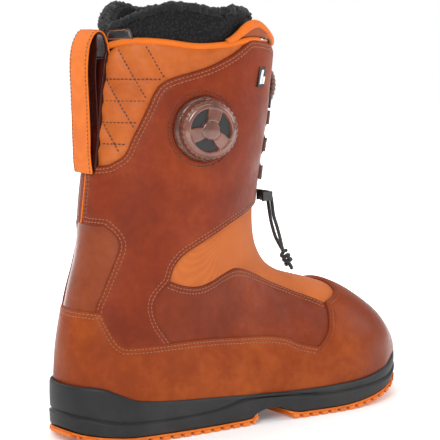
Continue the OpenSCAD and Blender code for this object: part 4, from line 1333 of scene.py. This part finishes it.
def instep_cord():
    pivot = CORD_PIVOT
    for k, dy in enumerate((-2.2, 2.2)):
        path = [pivot + (1.5, dy * 0.6, 4.5), pivot + (3.6, dy, 0.5), (132, -22 + dy, 150),
                (136, -20.5 + 1.3 * dy, 141), (141, -18.5 + 1.2 * dy, 131.5),
                (145, -17.5 + 0.5 * dy, 124.5), (148, -17, 119.5)]
        cord = tube(f"instep_cord_strand_{k}", curve(np.array(path), 8), 1.35, 12,
                    up=(0, 1, 0))
        ride(dress(cord, "cord"), "cord", "cord_black", *(["instep_cord"] if k == 0 else []))
    loops = []
    for t in np.linspace(0, 2 * math.pi * 2.5, 60):
        r = 2.6 + 0.3 * math.sin(3 * t)
        a = t / (2 * math.pi * 2.5)
        loops.append((148.2 + 5.5 * a + r * 0.85 * math.cos(t), -17.4 + r * math.sin(t),
                      119.0 - 8.5 * a + r * 0.5 * math.cos(t)))
    knot = tube("cord_knot_wrap", loops, 1.45, 12, up=(0.5, 0, 0.85))
    ride(dress(knot, "cord"), "cord", "cord_black", "cord_knot")
    tails = [[(152, -17, 112), (153.6, -17.8, 109), (155.5, -18.5, 105.6)],
             [(152.5, -17, 112), (155.5, -15.5, 109.5), (158.5, -14.5, 106.4)]]
    for k, path in enumerate(tails):
        tail = tube(f"cord_tail_{k}", curve(path, 8), 1.25, 10, up=(0, 1, 0))
        ride(dress(tail, "cord"), "cord", "cord_black")
    wrap = []
    for t in np.linspace(0, 2 * math.pi * 3, 70):
        a = t / (2 * math.pi * 3)
        wrap.append(pivot + (2.4 * math.cos(t) - 0.6, -5 + 10 * a, 2.4 * math.sin(t) + 1.0))
    hitch = tube("cord_hitch", wrap, 0.9, 10, up=(0, 1, 0))
    ride(dress(hitch, "cord"), "shaft", "cord_black")


def badge_mark():
    place = Matrix.Translation(Vector((96, -52.2, 255)) * MM) @ Matrix.Rotation(
        math.radians(18.6), 4, "Z") @ Matrix.Rotation(math.radians(90), 4, "X")
    bars = [[(-3.4, -5), (-0.9, -5), (2.6, 5), (0.1, 5)],
            [(0.1, -5), (2.3, -5), (4.0, 0.2), (1.8, 0.2)]]
    verts, faces = [], []
    for bar in bars:
        n = len(verts)
        verts += [(x, y, 1.15) for x, y in bar] + [(x, y, 1.55) for x, y in bar]
        faces += [(n + 3, n + 2, n + 1, n), (n + 4, n + 5, n + 6, n + 7)]
        faces += [(n + i, n + (i + 1) % 4, n + 4 + (i + 1) % 4, n + 4 + i) for i in range(4)]
    mark = make_object("badge_mark", verts, faces, smooth=False)
    mark.data.transform(place)
    ride(dress(mark, "white"), "shaft", "badge_black")


# ---------------------------------------------------------------- build

leather_panels()
quilted_collar()
collar_piping()
back_stay()
pull_loop()
liner()
lining()
tongue()
midsole()
dial("side", SIDE_DIAL, 23.0, 19.0, 16.0, "shaft", "side_dial")
dial("front", FRONT_DIAL, 18.0, 15.5, 14.0, "tongue", "front_dial")
dial_surround(SIDE_DIAL)
lace_guides()
front_laces()
instep_cord()
badge_mark()

for node_name, material in {
        "heel_outsole": "outsole", "forefoot_outsole": "outsole", "shank": "stiff",
        "lasting_board": "board", "heel_counter": "stiff", "toe_puff": "stiff",
        "footbed": "foam", "side_dial_screw": "steel",
        "front_dial_screw": "steel", "side_spool": "black", "front_spool": "black",
        "ankle_harness": "web", "harness_cable": "steel", "collar_badge": "black",
        "cord_anchor": "black"}.items():
    dress_node(node_name, material)


# ---------------------------------------------------------------- floor, light and camera

def studio():
    floor = make_object("floor", [(-3000, -3000, 0), (3000, -3000, 0), (3000, 3000, 0),
                                  (-3000, 3000, 0)], [(0, 1, 2, 3)], smooth=False)
    floor.location.z = -0.0004
    n = Nodes("floor_card")
    tone = n.ramp(n.noise(3, 3), [(0.3, rgb("#f4f3f2")), (0.7, rgb("#f9f8f7"))])
    reach = n.add("ShaderNodeVectorMath", operation="LENGTH")
    n.link(n.place, reach, 0)
    fade = n.add("ShaderNodeMapRange", interpolation_type="SMOOTHSTEP")
    n.link(reach.outputs["Value"], fade, 0)
    for socket, value in ((1, 0.22), (2, 0.75), (3, 0.12), (4, 1.0)):
        fade.inputs[socket].default_value = value
    n.link(fade.outputs[0], n.shader, "Emission Strength")
    n.shader.inputs["Emission Color"].default_value = (1, 1, 1, 1)
    floor.data.materials.append(n.finish(tone, 0.85))
    world = bpy.data.worlds.new("studio")
    world.use_nodes = True
    tree = world.node_tree
    tree.nodes["Background"].inputs[0].default_value = (1, 1, 1, 1)
    seen = tree.nodes.new("ShaderNodeLightPath")
    power = tree.nodes.new("ShaderNodeMapRange")
    power.inputs[3].default_value = 0.6
    power.inputs[4].default_value = 1.0
    tree.links.new(seen.outputs["Is Camera Ray"], power.inputs[0])
    tree.links.new(power.outputs[0], tree.nodes["Background"].inputs[1])
    bpy.context.scene.world = world
    lights = [("key", (-1.3, -1.3, 1.3), 24, 0.9), ("fill", (1.5, -1.0, 0.9), 10, 1.0),
              ("top", (0.1, 0.2, 2.0), 14, 1.3), ("back", (-0.6, 1.5, 1.1), 8, 1.2)]
    for name, where, power, size in lights:
        data = bpy.data.lights.new(name, "AREA")
        data.energy = power
        data.size = size
        lamp = bpy.data.objects.new(name, data)
        lamp.location = where
        lamp.rotation_euler = (Vector((0.1, 0, 0.14)) - Vector(where)).to_track_quat(
            "-Z", "Y").to_euler()
        bpy.context.scene.collection.objects.link(lamp)


def camera():
    azimuth, elevation, distance = math.radians(-38), math.radians(7), 1.25
    target = Vector((0.1, 0, 0.1565))
    back = Vector((math.sin(azimuth) * math.cos(elevation),
                   -math.cos(azimuth) * math.cos(elevation), math.sin(elevation)))
    data = bpy.data.cameras.new("camera")
    data.sensor_width = 36
    data.lens = 136.5
    data.shift_y = -0.0318
    obj = bpy.data.objects.new("camera", data)
    obj.location = target + back * distance
    obj.rotation_euler = (-back).to_track_quat("-Z", "Y").to_euler()
    bpy.context.scene.collection.objects.link(obj)
    bpy.context.scene.camera = obj
    bpy.context.scene.view_settings.view_transform = "Standard"


studio()
camera()
